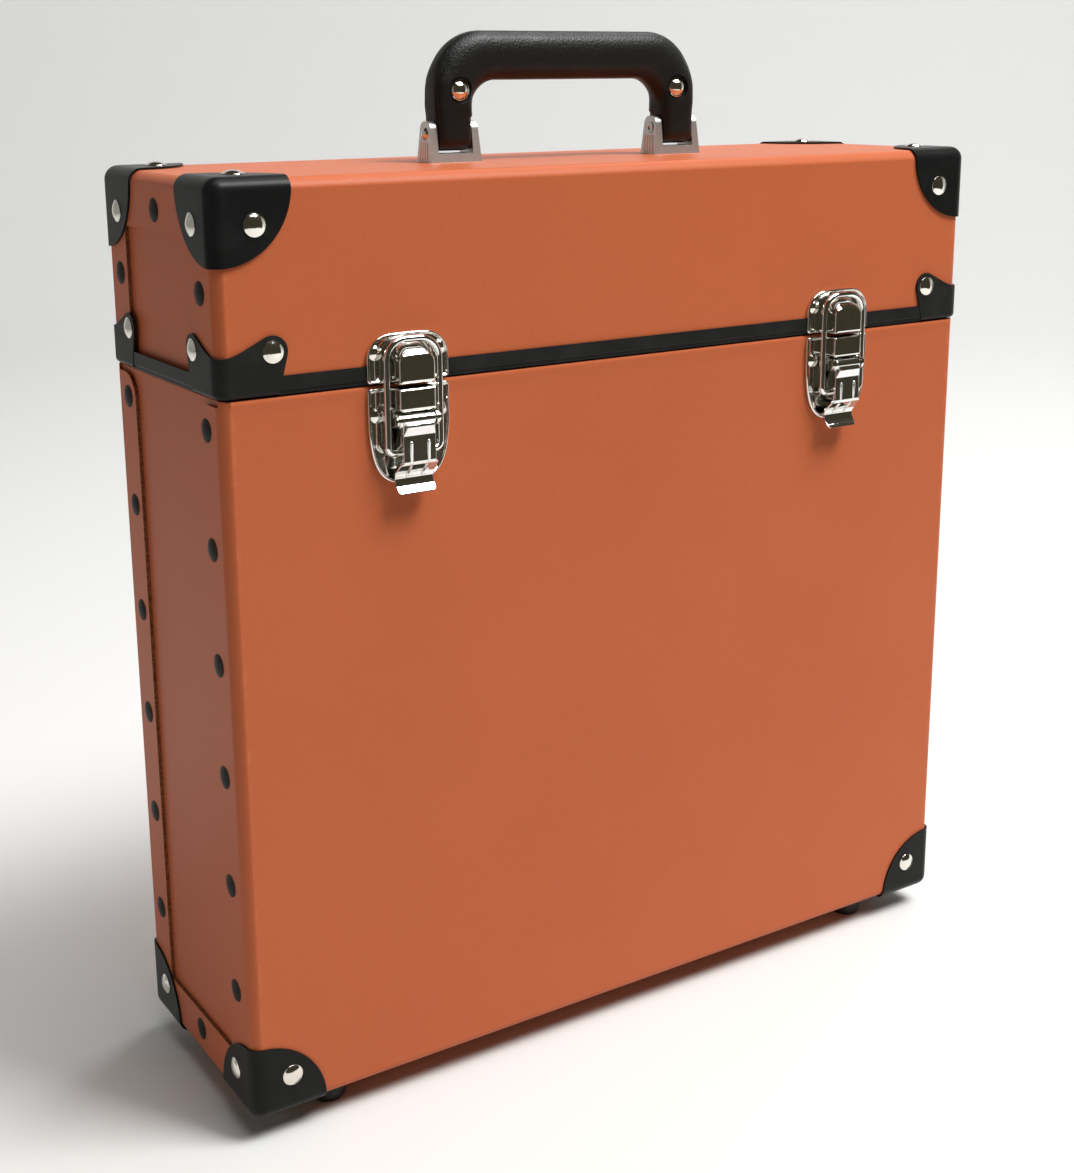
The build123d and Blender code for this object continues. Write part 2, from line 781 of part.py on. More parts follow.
def leg_section():
    """The handle's ends seen along it: round feet and slim legs that flare into the grip."""
    foot = leg_thickness / 2
    flare = (grip_thickness / 2 - foot) / (shoulder_rise - leg_flare_rise)
    top = grip_top + 5
    right = [(foot, leg_bottom), (foot, leg_flare_rise), (foot + flare * (top - leg_flare_rise), top)]
    section = polygon([(-y, rise) for y, rise in reversed(right)] + right)
    return fillet([v for v in section.vertices() if v.Y < leg_bottom + 1], leg_foot_radius)


def core_outline():
    """The steel strap inside the handle, bent to the same arch."""
    half = bracket_x + core_half_width
    top = (grip_top + grip_underside) / 2 + core_half_width
    low = pin_rise
    outer = Pos(0, (top + low) / 2) * Rectangle(2 * half, top - low)
    outer = fillet([v for v in outer.vertices() if v.Y > low + 1], core_bends[0])
    width = 2 * core_half_width
    inner = Pos(0, (top + low) / 2 - width) * Rectangle(2 * (half - width), top - low)
    return outer - fillet([v for v in inner.vertices() if v.Y > low + 1], core_bends[1])


def core_blank():
    """The strap with an eye at each end for the bracket's pin, before it is drilled."""
    blank = across(core_outline(), core_thickness)
    for side in (-1, 1):
        x = side * bracket_x
        blank += rod_x(core_eye_radius, x - core_half_width, x + core_half_width, 0, lid_top(pin_rise))
    return blank


def handle_core():
    strap = core_blank()
    z = lid_top(handle_rivet_rise)
    holes = [rod_y(handle_rivet[2], -20, 20, side * handle_rivet_x, z) for side in (-1, 1)]
    holes.append(rod_x(handle_pin_radius + running_fit, -90, 90, 0, lid_top(pin_rise)))
    return strap - holes


def handle_grip():
    arch = across(grip_outline(), grip_thickness)
    soft = arch.edges().filter_by(lambda e: abs(abs(e.center().Y) - grip_thickness / 2) < 0.01)
    soft = soft.filter_by(lambda e: e.center().Z > lid_top(leg_bottom))
    arch = fillet(soft, grip_edge) & along(leg_section(), grip_half_width + 1)
    cuts = [core_blank()]
    z = lid_top(handle_rivet_rise)
    for side in (-1, 1):
        x = side * handle_rivet_x
        cuts.append(rod_y(handle_rivet[2], -20, 20, x, z))
        cuts.append(rod_y(handle_recess_radius, -20, -handle_recess_floor, x, z))
        cuts.append(rod_y(handle_recess_radius, handle_recess_floor, 20, x, z))
    cuts.append(rod_x(handle_pin_radius + 0.4, -90, 90, 0, lid_top(pin_rise)))
    return arch - cuts


def handle_rivets():
    z = lid_top(handle_rivet_rise)
    depth = handle_recess_floor
    pieces = []
    for side in (-1, 1):
        x = side * handle_rivet_x
        shape = rod_y(handle_rivet[2], -depth, depth, x, z)
        for outward in (-1, 1):
            shape += seat((x, outward * depth, z), (0, outward, 0), dome(handle_rivet[0], handle_rivet[1]))
        pieces.append(shape)
    return pieces


def backing_strap():
    top = case_height - board - lid_lining
    half = bracket_x + backing_overhang
    depth = backing_half_depth
    strap = slab(-half, half, -depth, depth, top - backing_thickness, top)
    return fillet(strap.edges().filter_by(Axis.Z), backing_corner) - bracket_rivet_shanks()


def bracket_rivets():
    return [Pos(side * bracket_x, 0, 0) * seat(point, (0, 0, 1), flush_rivet())
            for side in (-1, 1) for point in bracket_seats()]


def bracket_rivet_shanks():
    return [rod_z(flush_shank, lid_top(-20), lid_top(bracket_floor), side * bracket_x + point[0], 0)
            for side in (-1, 1) for point in bracket_seats()]


# Feet.

def foot_place():
    return Pos(half_w - foot_inset_x, -half_d + foot_inset_y, 0)


def foot():
    """A rubber foot under the front right corner, with a recess for its screw."""
    shoulder, drop = foot_shoulder
    low = -foot_height
    waist = (foot_radius, -foot_waist)
    rim = (foot_flat_radius, low)
    curve = ThreePointArc(waist, (shoulder, -drop), rim)
    top = Polyline((0, 0), (foot_radius, 0), waist)
    section = make_face([top, curve, Polyline(rim, (0, low), (0, 0))])
    body = revolve(Plane.XZ * section, axis=Axis.Z)
    body -= rod_z(foot_recess[0], low - 1, low + foot_recess[1], 0, 0)
    return foot_place() * (body - rod_z(foot_screw_radius, low - 1, 1, 0, 0))


def foot_screw():
    low = -foot_height + foot_recess[1]
    floor = board + body_lining
    radius, height = foot_screw_head
    socket, sunk = foot_screw_socket
    face = low - height
    screw = rod_z(radius, face, low, 0, 0) - rod_z(socket, face - 1, face + sunk, 0, 0)
    screw += rod_z(foot_screw_radius, low, floor, 0, 0)
    return foot_place() * (screw + rod_z(foot_nut[0], floor, floor + foot_nut[1], 0, 0))


def foot_holes():
    return all_corners(foot_place() * rod_z(foot_screw_radius, -5, 10, 0, 0))


# Writing the parts.

def both_latches(make):
    return [Pos(side * latch_x, 0, 0) * make for side in (-1, 1)]


def both_hinges(make):
    return [Pos(side * hinge_x, 0, 0) * make for side in (-1, 1)]


def latch_base_seats():
    return [seat_at for side in (-1, 1) for seat_at in latch_seats(side * latch_x, base_rivet_z)]


def catch_seats():
    return [seat_at for side in (-1, 1) for seat_at in latch_seats(side * latch_x, catch_rivet_z)]


def hinge_seats(direction):
    return [seat_at for side in (-1, 1) for seat_at in leaf_seats(side * hinge_x, direction)]


def write_body():
    flaps = side_seats(body_flap_places())
    holes = shanks(cap_rivet, 6, cap_seats()) + shanks(flap_rivet, 6, flaps)
    sheet_holes = shanks(latch_rivet, 4, latch_base_seats()) + shanks(hinge_rivet, 4, hinge_seats(-1))
    save("body_wrap", wrap(body_height) - holes - sheet_holes - foot_holes())
    panel = side_panel(body_height)
    save("body_right_panel", panel - holes)
    save("body_left_panel", mirror(panel, about=Plane.YZ) - holes)
    save("body_lining", lining(body_lining, body_height) + lip() - foot_holes())
    cap_pieces("body", body_lobe, lambda shape: shape)
    save("body_corner_rivets", *cap_rivet_pieces())
    save("body_flap_rivets", *riveted(flap_rivet, 2 * board, flaps))
    feet = all_corners(foot())
    names = ("foot_front_right", "foot_front_left", "foot_back_right", "foot_back_left")
    for name, shape in zip(names, feet):
        save(name, shape)
    save("foot_screws", *all_corners(foot_screw()))


def write_lid():
    flaps = side_seats(lid_flap_places())
    holes = shanks(cap_rivet, 6, cap_seats()) + shanks(flap_rivet, 6, flaps)
    rims = four_corners(rim_rivet_seats)
    rim_holes = shanks(rim_rivet, 6, rims)
    sheet_holes = shanks(latch_rivet, 4, catch_seats()) + shanks(hinge_rivet, 4, hinge_seats(1))
    strap_holes = bracket_rivet_shanks()
    sheet = to_lid(wrap(lid_depth) - holes)
    save("lid_wrap", sheet - rim_holes - sheet_holes - strap_holes)
    panel = side_panel(lid_depth) - holes
    right = to_lid(panel) - rim_holes
    save("lid_right_panel", right)
    save("lid_left_panel", mirror(right, about=Plane.YZ))
    save("lid_lining", to_lid(lining(lid_lining, lid_depth - lid_lining_setback)) - strap_holes)
    cap_pieces("lid", lid_lobe, to_lid)
    save("lid_corner_rivets", *[to_lid(piece) for piece in cap_rivet_pieces()])
    save("lid_flap_rivets", *[to_lid(piece) for piece in riveted(flap_rivet, 2 * board, flaps)])
    for name, strip in rim_strips().items():
        save("rim_strip_" + name, strip)
    names = ("front_left", "front_right", "back_left", "back_right")
    for name, shape in zip(names, all_corners(rim_corner())):
        save("rim_corner_" + name, shape)
    pieces = []
    for point, outward in rims:
        boards = 2 * board if outward[0] else board
        pieces.append(seat(point, outward, rivet(rim_rivet, rim_corner_thickness + boards)))
    save("rim_corner_rivets", *pieces)


def write_latches():
    depth = plate_field + board
    pieces = {
        "latch_base": latch_base(),
        "latch_catch": latch_catch(),
        "latch_lever": latch_lever(),
        "latch_bail": latch_bail(),
    }
    for name, shape in pieces.items():
        for side, copy in zip(("left", "right"), both_latches(shape)):
            save(name + "_" + side, copy)
    save("lever_pins", *both_latches(lever_pin()))
    save("latch_base_rivets", *riveted(latch_rivet, depth, latch_base_seats()))
    save("catch_rivets", *riveted(latch_rivet, depth, catch_seats()))


def write_hinges():
    depth = leaf_thickness + board
    for direction, name in ((-1, "hinge_leaf_body_"), (1, "hinge_leaf_lid_")):
        for side, copy in zip(("left", "right"), both_hinges(leaf(direction))):
            save(name + side, copy)
    pin = rod_x(hinge_pin_radius, -hinge_width / 2, hinge_width / 2, hinge_y, hinge_z)
    save("hinge_pins", *both_hinges(pin))
    save("hinge_body_rivets", *riveted(hinge_rivet, depth, hinge_seats(-1)))
    save("hinge_lid_rivets", *riveted(hinge_rivet, depth, hinge_seats(1)))


def write_handle():
    right = bracket() - pin_recess()
    for side, name in ((-1, "left"), (1, "right")):
        save("handle_bracket_" + name, Pos(side * bracket_x, 0, 0) * flip(right, side))
    pins = [Pos(side * bracket_x, 0, 0) * flip(handle_pin(), side) for side in (-1, 1)]
    save("handle_pins", *pins)
    save("bracket_rivets", *bracket_rivets())
    save("handle_backing_strap", backing_strap())
    save("handle_grip", handle_grip())
    save("handle_core", handle_core())
    save("handle_rivets", *handle_rivets())


write_body()
write_lid()
write_latches()
write_hinges()
write_handle()
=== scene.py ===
import bpy
import json
from math import asin, cos, hypot, pi, radians, sin, sqrt
from mathutils import Matrix, Vector


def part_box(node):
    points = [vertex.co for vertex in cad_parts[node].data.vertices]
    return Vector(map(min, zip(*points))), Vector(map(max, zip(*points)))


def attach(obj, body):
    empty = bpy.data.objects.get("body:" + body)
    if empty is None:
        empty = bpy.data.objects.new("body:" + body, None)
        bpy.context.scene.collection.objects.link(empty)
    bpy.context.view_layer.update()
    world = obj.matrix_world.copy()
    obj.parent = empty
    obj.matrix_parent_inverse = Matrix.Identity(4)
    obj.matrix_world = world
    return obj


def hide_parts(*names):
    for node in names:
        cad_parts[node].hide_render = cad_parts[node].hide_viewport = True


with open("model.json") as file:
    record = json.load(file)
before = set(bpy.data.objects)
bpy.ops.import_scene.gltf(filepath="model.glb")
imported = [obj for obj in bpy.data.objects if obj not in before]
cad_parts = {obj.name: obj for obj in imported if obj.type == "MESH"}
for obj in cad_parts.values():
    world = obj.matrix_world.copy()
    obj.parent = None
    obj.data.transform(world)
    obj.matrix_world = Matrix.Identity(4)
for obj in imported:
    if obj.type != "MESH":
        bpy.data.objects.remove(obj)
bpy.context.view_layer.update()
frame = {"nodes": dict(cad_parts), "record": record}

mm = 0.001
print("frame loaded:", len(frame["nodes"]), "parts")

# Where the case stands, read from the frame. Sizes below are millimetres unless a name says otherwise.
bodyLow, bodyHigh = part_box("body_wrap")
lidLow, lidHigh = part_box("lid_wrap")
left, right = bodyLow.x / mm, bodyHigh.x / mm
front, back = bodyLow.y / mm, bodyHigh.y / mm
bottom = bodyLow.z / mm
lidEdge, lidTop = lidLow.z / mm, lidHigh.z / mm
middle = (front + back) / 2
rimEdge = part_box("rim_strip_front")[0].z / mm


def deselectAll():
    active = bpy.context.object
    if active and active.mode != "OBJECT":
        bpy.ops.object.mode_set(mode="OBJECT")
    bpy.ops.object.select_all(action="DESELECT")


def activate(piece):
    deselectAll()
    piece.select_set(True)
    bpy.context.view_layer.objects.active = piece


def added(name):
    # the primitive that was just added, named, with its place and size put into its mesh
    piece = bpy.context.object
    piece.name = piece.data.name = name
    activate(piece)
    bpy.ops.object.transform_apply(location=True, rotation=True, scale=True)
    return piece


def block(name, low, high):
    deselectAll()
    centre = [(a + b) / 2 * mm for a, b in zip(low, high)]
    bpy.ops.mesh.primitive_cube_add(size=1, location=centre)
    bpy.context.object.scale = [(b - a) * mm for a, b in zip(low, high)]
    return added(name)


def rod(name, radius, start, end, steps=40):
    deselectAll()
    start, end = Vector(start) * mm, Vector(end) * mm
    along = end - start
    bpy.ops.mesh.primitive_cylinder_add(
        vertices=steps, radius=radius * mm, depth=along.length, location=(start + end) / 2,
        rotation=along.to_track_quat("Z", "Y").to_euler())
    return added(name)


def flatShape(name, points):
    # a flat face with these corners: a filled circle whose points are moved to their places
    deselectAll()
    bpy.ops.mesh.primitive_circle_add(vertices=len(points), radius=1, fill_type="NGON")
    piece = added(name)
    for vertex, point in zip(piece.data.vertices, points):
        vertex.co = Vector(point) * mm
    piece.data.update()
    return piece


def choose(piece, kind, test):
    # into edit mode with what passes the test selected: test(place in mm, item)
    activate(piece)
    bpy.ops.object.mode_set(mode="EDIT")
    bpy.ops.mesh.select_mode(type=kind)
    bpy.ops.mesh.select_all(action="DESELECT")
    bpy.ops.object.mode_set(mode="OBJECT")
    data = piece.data
    points = [vertex.co / mm for vertex in data.vertices]
    if kind == "VERT":
        for vertex in data.vertices:
            vertex.select = bool(test(points[vertex.index], vertex))
    elif kind == "EDGE":
        for edge in data.edges:
            a, b = edge.vertices
            edge.select = bool(test((points[a] + points[b]) / 2, edge))
    else:
        for face in data.polygons:
            face.select = bool(test(face.center / mm, face))
    bpy.ops.object.mode_set(mode="EDIT")


def done():
    bpy.ops.object.mode_set(mode="OBJECT")


def everything(place, item):
    return True


def doneOutwards():
    # leaves edit mode with every face turned outwards
    bpy.ops.mesh.select_all(action="SELECT")
    bpy.ops.mesh.normals_make_consistent(inside=False)
    done()


def roundEdges(piece, test, radius, steps=5, profile=0.5):
    choose(piece, "EDGE", test)
    bpy.ops.mesh.bevel(offset=radius * mm, offset_type="OFFSET", segments=steps, profile=profile,
                       affect="EDGES")
    done()


def thicken(piece, move):
    choose(piece, "FACE", everything)
    bpy.ops.mesh.extrude_region_move(TRANSFORM_OT_translate={"value": Vector(move) * mm})
    doneOutwards()
    return piece


def applyModifier(piece, kind, **settings):
    activate(piece)
    modifier = piece.modifiers.new("work", kind)
    for key, value in settings.items():
        setattr(modifier, key, value)
    bpy.ops.object.modifier_apply(modifier=modifier.name)
    return piece


def softenEdges(piece, width, steps=3, angle=35):
    return applyModifier(piece, "BEVEL", width=width * mm, segments=steps, limit_method="ANGLE",
                         angle_limit=radians(angle), use_clamp_overlap=True)


def discard(*pieces):
    for piece in pieces:
        bpy.data.objects.remove(piece)


def carve(piece, tool, operation="DIFFERENCE"):
    applyModifier(piece, "BOOLEAN", object=tool, operation=operation, solver="EXACT")
    discard(tool)
    return piece


def joined(name, pieces):
    activate(pieces[0])
    for piece in pieces:
        piece.select_set(True)
    if len(pieces) > 1:
        bpy.ops.object.join()
    whole = bpy.context.object
    whole.name = whole.data.name = name
    return whole


def copied(piece, name, turn=None):
    # a copy with its own mesh, moved or mirrored by a matrix, with its faces kept outwards
    twin = piece.copy()
    twin.data = piece.data.copy()
    twin.name = twin.data.name = name
    bpy.context.scene.collection.objects.link(twin)
    if turn is not None:
        twin.data.transform(turn)
        if turn.determinant() < 0:
            twin.data.flip_normals()
    return twin


def mirrorX(x=0.0):
    return Matrix.Translation((2 * x * mm, 0, 0)) @ Matrix.Diagonal((-1, 1, 1, 1))


def mirrorY(y=0.0):
    return Matrix.Translation((0, 2 * y * mm, 0)) @ Matrix.Diagonal((1, -1, 1, 1))


def mirrorZ(z=0.0):
    return Matrix.Translation((0, 0, 2 * z * mm)) @ Matrix.Diagonal((1, 1, -1, 1))


def moved(x, y, z):
    return Matrix.Translation((x * mm, y * mm, z * mm))


# the case's four upright corners, each from a model made at the left front one
cornerTurns = {
    "front_left": Matrix.Identity(4),
    "front_right": mirrorX(),
    "back_left": mirrorY(middle),
    "back_right": mirrorX() @ mirrorY(middle),
}


def smooth(piece, angle=32):
    activate(piece)
    bpy.ops.object.shade_smooth_by_angle(angle=radians(angle))
    return piece


def finishPiece(piece, body, slotName, material, *nodes, soft=False):
    smooth(piece)
    if not soft:
        applyModifier(piece, "WEIGHTED_NORMAL", mode="FACE_AREA", weight=100, keep_sharp=True)
    piece.data.materials.clear()
    piece.data.materials.append(material)
    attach(piece, body)
    if nodes:
        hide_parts(*nodes)
    return piece


def turned(name, profile, steps=32):
    # a solid of rings, each (radius, height), from the widest at the bottom to a point on top
    deselectAll()
    radius, height = profile[0]
    bpy.ops.mesh.primitive_circle_add(vertices=steps, radius=radius * mm, location=(0, 0, height * mm),
                                      fill_type="NGON")
    piece = added(name)
    choose(piece, "FACE", everything)
    for nextRadius, nextHeight in profile[1:]:
        nextRadius = max(nextRadius, 0.001)
        scale = nextRadius / radius
        bpy.ops.mesh.extrude_region_move(TRANSFORM_OT_translate={"value": (0, 0, (nextHeight - height) * mm)})
        bpy.ops.transform.resize(value=(scale, scale, 1), center_override=(0, 0, nextHeight * mm))
        radius, height = nextRadius, nextHeight
    if profile[-1][0] == 0:
        bpy.ops.mesh.merge(type="CENTER")
    doneOutwards()
    return piece


def islandsOf(node):
    # the separate solids of a part, each as its (low, high) corners in mm
    mesh = frame["nodes"][node].data
    places, parent = {}, {}

    def root(key):
        while parent[key] != key:
            parent[key] = parent[parent[key]]
            key = parent[key]
        return key

    keys = [tuple(round(value / mm, 3) for value in vertex.co) for vertex in mesh.vertices]
    for key in keys:
        parent.setdefault(key, key)
    for edge in mesh.edges:
        a, b = (root(keys[index]) for index in edge.vertices)
        parent[a] = b
    for key in parent:
        places.setdefault(root(key), []).append(key)
    boxes = []
    for points in places.values():
        low = Vector([min(p[axis] for p in points) for axis in range(3)])
        high = Vector([max(p[axis] for p in points) for axis in range(3)])
        boxes.append((low, high))
    return sorted(boxes, key=lambda box: tuple(box[0]))


def seatsOf(node, headHeight):
    # where each rivet of a part sits on its face: (seat, outward direction)
    low, high = Vector((left, front, bottom)), Vector((right, back, lidTop))
    seats = []
    for boxLow, boxHigh in islandsOf(node):
        gaps = []
        for axis in range(3):
            gaps += [(low[axis] - boxLow[axis], axis, -1), (boxHigh[axis] - high[axis], axis, 1)]
        axis, sign = max(gaps, key=lambda found: found[0])[1:]
        seat = (boxLow + boxHigh) / 2
        seat[axis] = (boxHigh[axis] if sign > 0 else boxLow[axis]) - sign * headHeight
        outward = Vector((0, 0, 0))
        outward[axis] = sign
        seats.append((seat, outward))
    return seats


seatSpin = 0.9  # each rivet is turned by this from the one before, in radians


def seated(model, seats):
    # one copy of a model on each seat, its own z axis pointing outwards
    copies = []
    for index, (seat, outward) in enumerate(seats):
        spin = Matrix.Rotation(seatSpin * index, 4, "Z")
        turn = Matrix.Translation(seat * mm) @ outward.to_track_quat("Z", "Y").to_matrix().to_4x4() @ spin
        copies.append(copied(model, model.name + str(index), turn))
    return copies


class Value:
    # one socket of a shader tree; arithmetic on it adds Math nodes
    def __init__(self, tree, socket):
        self.tree = tree
        self.socket = socket

    def math(self, operation, *others):
        return self.tree.node("ShaderNodeMath", {"operation": operation},
                              dict(enumerate((self, *others))))

    def __add__(self, other):
        return self.math("ADD", other)

    __radd__ = __add__

    def __mul__(self, other):
        return self.math("MULTIPLY", other)

    __rmul__ = __mul__

    def __sub__(self, other):
        return self.math("SUBTRACT", other)

    def __rsub__(self, other):
        return self.tree.node("ShaderNodeMath", {"operation": "SUBTRACT"}, {0: other, 1: self})

    def __gt__(self, other):
        return self.math("GREATER_THAN", other)

    def __lt__(self, other):
        return self.math("LESS_THAN", other)

    def size(self):
        return self.math("ABSOLUTE")

    def clamped(self):
        return self.tree.node("ShaderNodeClamp", {}, {"Value": self})

    def ramp(self, low, high):
        # 0 below low, 1 above high, smooth between
        return self.tree.node("ShaderNodeMapRange", {"interpolation_type": "SMOOTHSTEP"},
                              {"Value": self, "From Min": low, "From Max": high})


class Finish:
    # a material, or the world, and the nodes that make it
    def __init__(self, name, world=None):
        self.material = world or bpy.data.materials.new(name)
        self.material.use_nodes = True
        self.nodes = self.material.node_tree.nodes
        self.links = self.material.node_tree.links
        self.surface = self.nodes["Background" if world else "Principled BSDF"]

    def node(self, kind, settings=None, values=None, output=0):
        made = self.nodes.new(kind)
        for key, value in (settings or {}).items():
            setattr(made, key, value)
        for key, value in (values or {}).items():
            self.feed(made.inputs[key], value)
        return Value(self, made.outputs[output])

    def feed(self, socket, value):
        if isinstance(value, Value):
            self.links.new(value.socket, socket)
        elif hasattr(value, "__len__") and len(value) == 3 and len(socket.default_value) == 4:
            socket.default_value = (*value, 1)
        else:
            socket.default_value = value

    def place(self, scale=1000.0):
        # the point on the piece, in millimetres unless scaled otherwise
        point = self.node("ShaderNodeTexCoord", output="Object")
        return self.node("ShaderNodeVectorMath", {"operation": "SCALE"}, {0: point, "Scale": scale})

    def axes(self, vector):
        return [self.node("ShaderNodeSeparateXYZ", {}, {0: vector}, index) for index in range(3)]

    def noise(self, point, size, detail=3.0, roughness=0.55):
        return self.node("ShaderNodeTexNoise", {"noise_dimensions": "3D"},
                         {"Vector": point, "Scale": 1 / size, "Detail": detail, "Roughness": roughness})

    def cells(self, point, size):
        return self.node("ShaderNodeTexVoronoi", {"feature": "SMOOTH_F1"},
                         {"Vector": point, "Scale": 1 / size}, "Distance")

    def blend(self, factor, first, second):
        return self.node("ShaderNodeMix", {"data_type": "RGBA"}, {0: factor, 6: first, 7: second}, 2)

    def bump(self, height, depth, strength=1.0, under=None):
        values = {"Height": height, "Distance": depth * mm, "Strength": strength}
        if under is not None:
            values["Normal"] = under
        return self.node("ShaderNodeBump", {}, values)

    def finish(self, **sockets):
        for name, value in sockets.items():
            self.feed(self.surface.inputs[name.replace("_", " ")], value)
        return self.material


def boardFinish(name, tone):
    # painted fibreboard: a fine leathery grain, a little unevenness, and brown raw edges
    made = Finish(name)
    point = made.place()
    x, y, z = made.axes(point)
    facing = made.axes(made.node("ShaderNodeTexCoord", output="Normal"))[0]
    broad = made.noise(point, 90.0, 2.0)
    fine = made.noise(point, 2.2, 4.0, 0.6)
    speck = made.noise(point, 0.55, 2.0, 0.5)
    shade = (broad - 0.5) * 0.55 + (fine - 0.5) * 0.3 + (speck - 0.5) * 0.22 + 0.5
    color = made.blend(shade.clamped(), tone["dark"], tone["light"])
    # patches along the upright fold lines of the board are coloured a little paler
    fromBend = (x.size() - (right - tone["bend"])).size()
    rubbed = (1 - fromBend.ramp(0.3, 1.2)) * made.noise(point, 7.0, 5.0, 0.7).ramp(0.46, 0.72) * 0.35
    color = made.blend(rubbed, color, tone["rubbed"])
    # the cut ends of the flaps on the sides are raw
    edge = tone["rawMargin"]
    raw = (x.size() > right - tone["rawDepth"]) * (facing.size() < 0.6)
    raw = raw * ((y - middle).size() < back - middle - edge) * ((z - rimEdge).size() > edge)
    fibre = made.noise(point, 0.8, 3.0, 0.7)
    brown = made.blend(fibre.ramp(0.35, 0.65), tone["rawDark"], tone["raw"])
    color = made.blend(raw, color, brown)
    grain = made.bump(made.noise(point, 0.9, 3.0, 0.5), 0.10, 0.45)
    relief = made.bump(made.noise(point, 14.0, 2.0), 0.35, 0.25, grain)
    rough = tone["roughness"] + (fine - 0.5) * 0.12 + raw * 0.3
    return made.finish(Base_Color=color, Roughness=rough, Normal=relief, Specular_IOR_Level=tone["shine"])


def lacquerFinish(name, color, roughness):
    # black enamel on metal, paler in the patches that are handled
    made = Finish(name)
    point = made.place()
    skin = made.noise(point, 1.4, 2.0)
    handled = made.noise(point, 11.0, 4.0, 0.6)
    tone = made.blend(handled.ramp(0.42, 0.75) * 0.5, color, [value * 1.9 for value in color])
    rough = roughness + (handled - 0.5) * 0.16
    return made.finish(Base_Color=tone, Roughness=rough, Normal=made.bump(skin, 0.06, 0.35),
                       Specular_IOR_Level=0.10)


def platedFinish(name, color, roughness, wave, waveSize):
    # plated metal with a thin haze; the wave is how deep its face is dented, over waveSize
    made = Finish(name)
    point = made.place()
    haze = made.noise(point, 3.0, 4.0, 0.65)
    tone = made.blend(haze.ramp(0.35, 0.8) * 0.6, color, [value * 0.78 for value in color])
    relief = made.bump(made.noise(point, waveSize, 2.0), wave, 0.3)
    return made.finish(Base_Color=tone, Metallic=1.0, Roughness=roughness + (haze - 0.5) * 0.10,
                       Normal=relief)


handleTone = {
    "dark": (0.0060, 0.0063, 0.0060), "worn": (0.016, 0.0165, 0.016), "roughness": 0.44, "shine": 0.3,
    "pebble": 0.75, "crease": 2.4, "patch": 16.0,
}


def handleFinish(tone):
    # moulded plastic with a pebbled skin, a little shinier where hands have worn it
    made = Finish("handleSkin")
    point = made.place()
    pebbles = made.cells(point, tone["pebble"])
    crease = made.noise(point, tone["crease"], 4.0, 0.6)
    worn = made.noise(point, tone["patch"], 3.0).ramp(0.45, 0.75)
    color = made.blend(worn * 0.5 + pebbles * 0.25, tone["dark"], tone["worn"])
    relief = made.bump(pebbles * 0.8 + crease * 0.6, 0.22, 0.8)
    rough = tone["roughness"] - worn * 0.07 + (crease - 0.5) * 0.12
    return made.finish(Base_Color=color, Roughness=rough, Normal=relief, Specular_IOR_Level=tone["shine"])


def paperFinish(dark, light, roughness):
    # the black paper inside: short fibres and faint clouds
    made = Finish("liningPaper")
    point = made.place()
    fibre = made.noise(point, 0.5, 3.0, 0.6)
    cloud = made.noise(point, 40.0, 3.0)
    color = made.blend((fibre * 0.5 + cloud * 0.5).clamped(), dark, light)
    return made.finish(Base_Color=color, Roughness=roughness + (fibre - 0.5) * 0.1,
                       Normal=made.bump(fibre, 0.06, 0.4))


def rubberFinish(clean, dusty, roughness):
    made = Finish("rubber")
    dust = made.noise(made.place(), 2.5, 4.0, 0.65)
    color = made.blend(dust.ramp(0.45, 0.8) * 0.6, clean, dusty)
    return made.finish(Base_Color=color, Roughness=roughness + (dust - 0.5) * 0.2,
                       Normal=made.bump(dust, 0.08, 0.4))


boardTone = {
    "dark": (0.438, 0.104, 0.039),
    "light": (0.543, 0.138, 0.055),
    # the colour of the paler patches along the folds
    "rubbed": (0.62, 0.20, 0.10),
    "raw": (0.30, 0.115, 0.045),
    "rawDark": (0.085, 0.030, 0.013),
    "roughness": 0.40, "shine": 0.11,
    "bend": 4.5, "rawDepth": 1.42, "rawMargin": 4.0,
}
bodyBoard = boardFinish("bodyBoard", boardTone)
lidBoard = boardFinish("lidBoard", boardTone)
blackLacquer = lacquerFinish("blackLacquer", (0.0088, 0.0096, 0.0090), 0.34)
rimLacquer = lacquerFinish("rimLacquer", (0.0145, 0.0148, 0.0144), 0.40)
rivetLacquer = lacquerFinish("rivetLacquer", (0.016, 0.013, 0.011), 0.5)
nickelBright = platedFinish("nickelBright", (0.80, 0.775, 0.70), 0.10, 0.22, 3.5)
latchPlate = platedFinish("latchPlate", (0.80, 0.79, 0.74), 0.075, 0.12, 6.0)
leverNickel = platedFinish("leverNickel", (0.82, 0.82, 0.80), 0.085, 0.15, 3.0)
castNickel = platedFinish("castNickel", (0.80, 0.80, 0.78), 0.40, 0.16, 2.0)
plainSteel = platedFinish("plainSteel", (0.50, 0.50, 0.50), 0.34, 0.1, 3.0)
handleSkin = handleFinish(handleTone)
liningPaper = paperFinish((0.012, 0.012, 0.013), (0.030, 0.029, 0.029), 0.82)
footRubber = rubberFinish((0.010, 0.010, 0.010), (0.035, 0.034, 0.033), 0.62)
print("finishes made")


def paint(node, material):
    mesh = frame["nodes"][node].data
    mesh.materials.clear()
    mesh.materials.append(material)


finishOfSlot = {
    "lining_paper": liningPaper,
    "black_steel": blackLacquer,
    "black_rivet": rivetLacquer,
    "nickel_rivet": nickelBright,
    "nickel_plate": latchPlate,
    "plain_steel": plainSteel,
    "rubber": footRubber,
    "handle_skin": handleSkin,
}
for part in frame["record"]["subparts"]:
    node = part["node"]
    if part["material_slot"] == "board":
        paint(node, lidBoard if node.startswith("lid") else bodyBoard)
    else:
        paint(node, finishOfSlot[part["material_slot"]])
print("parts painted")


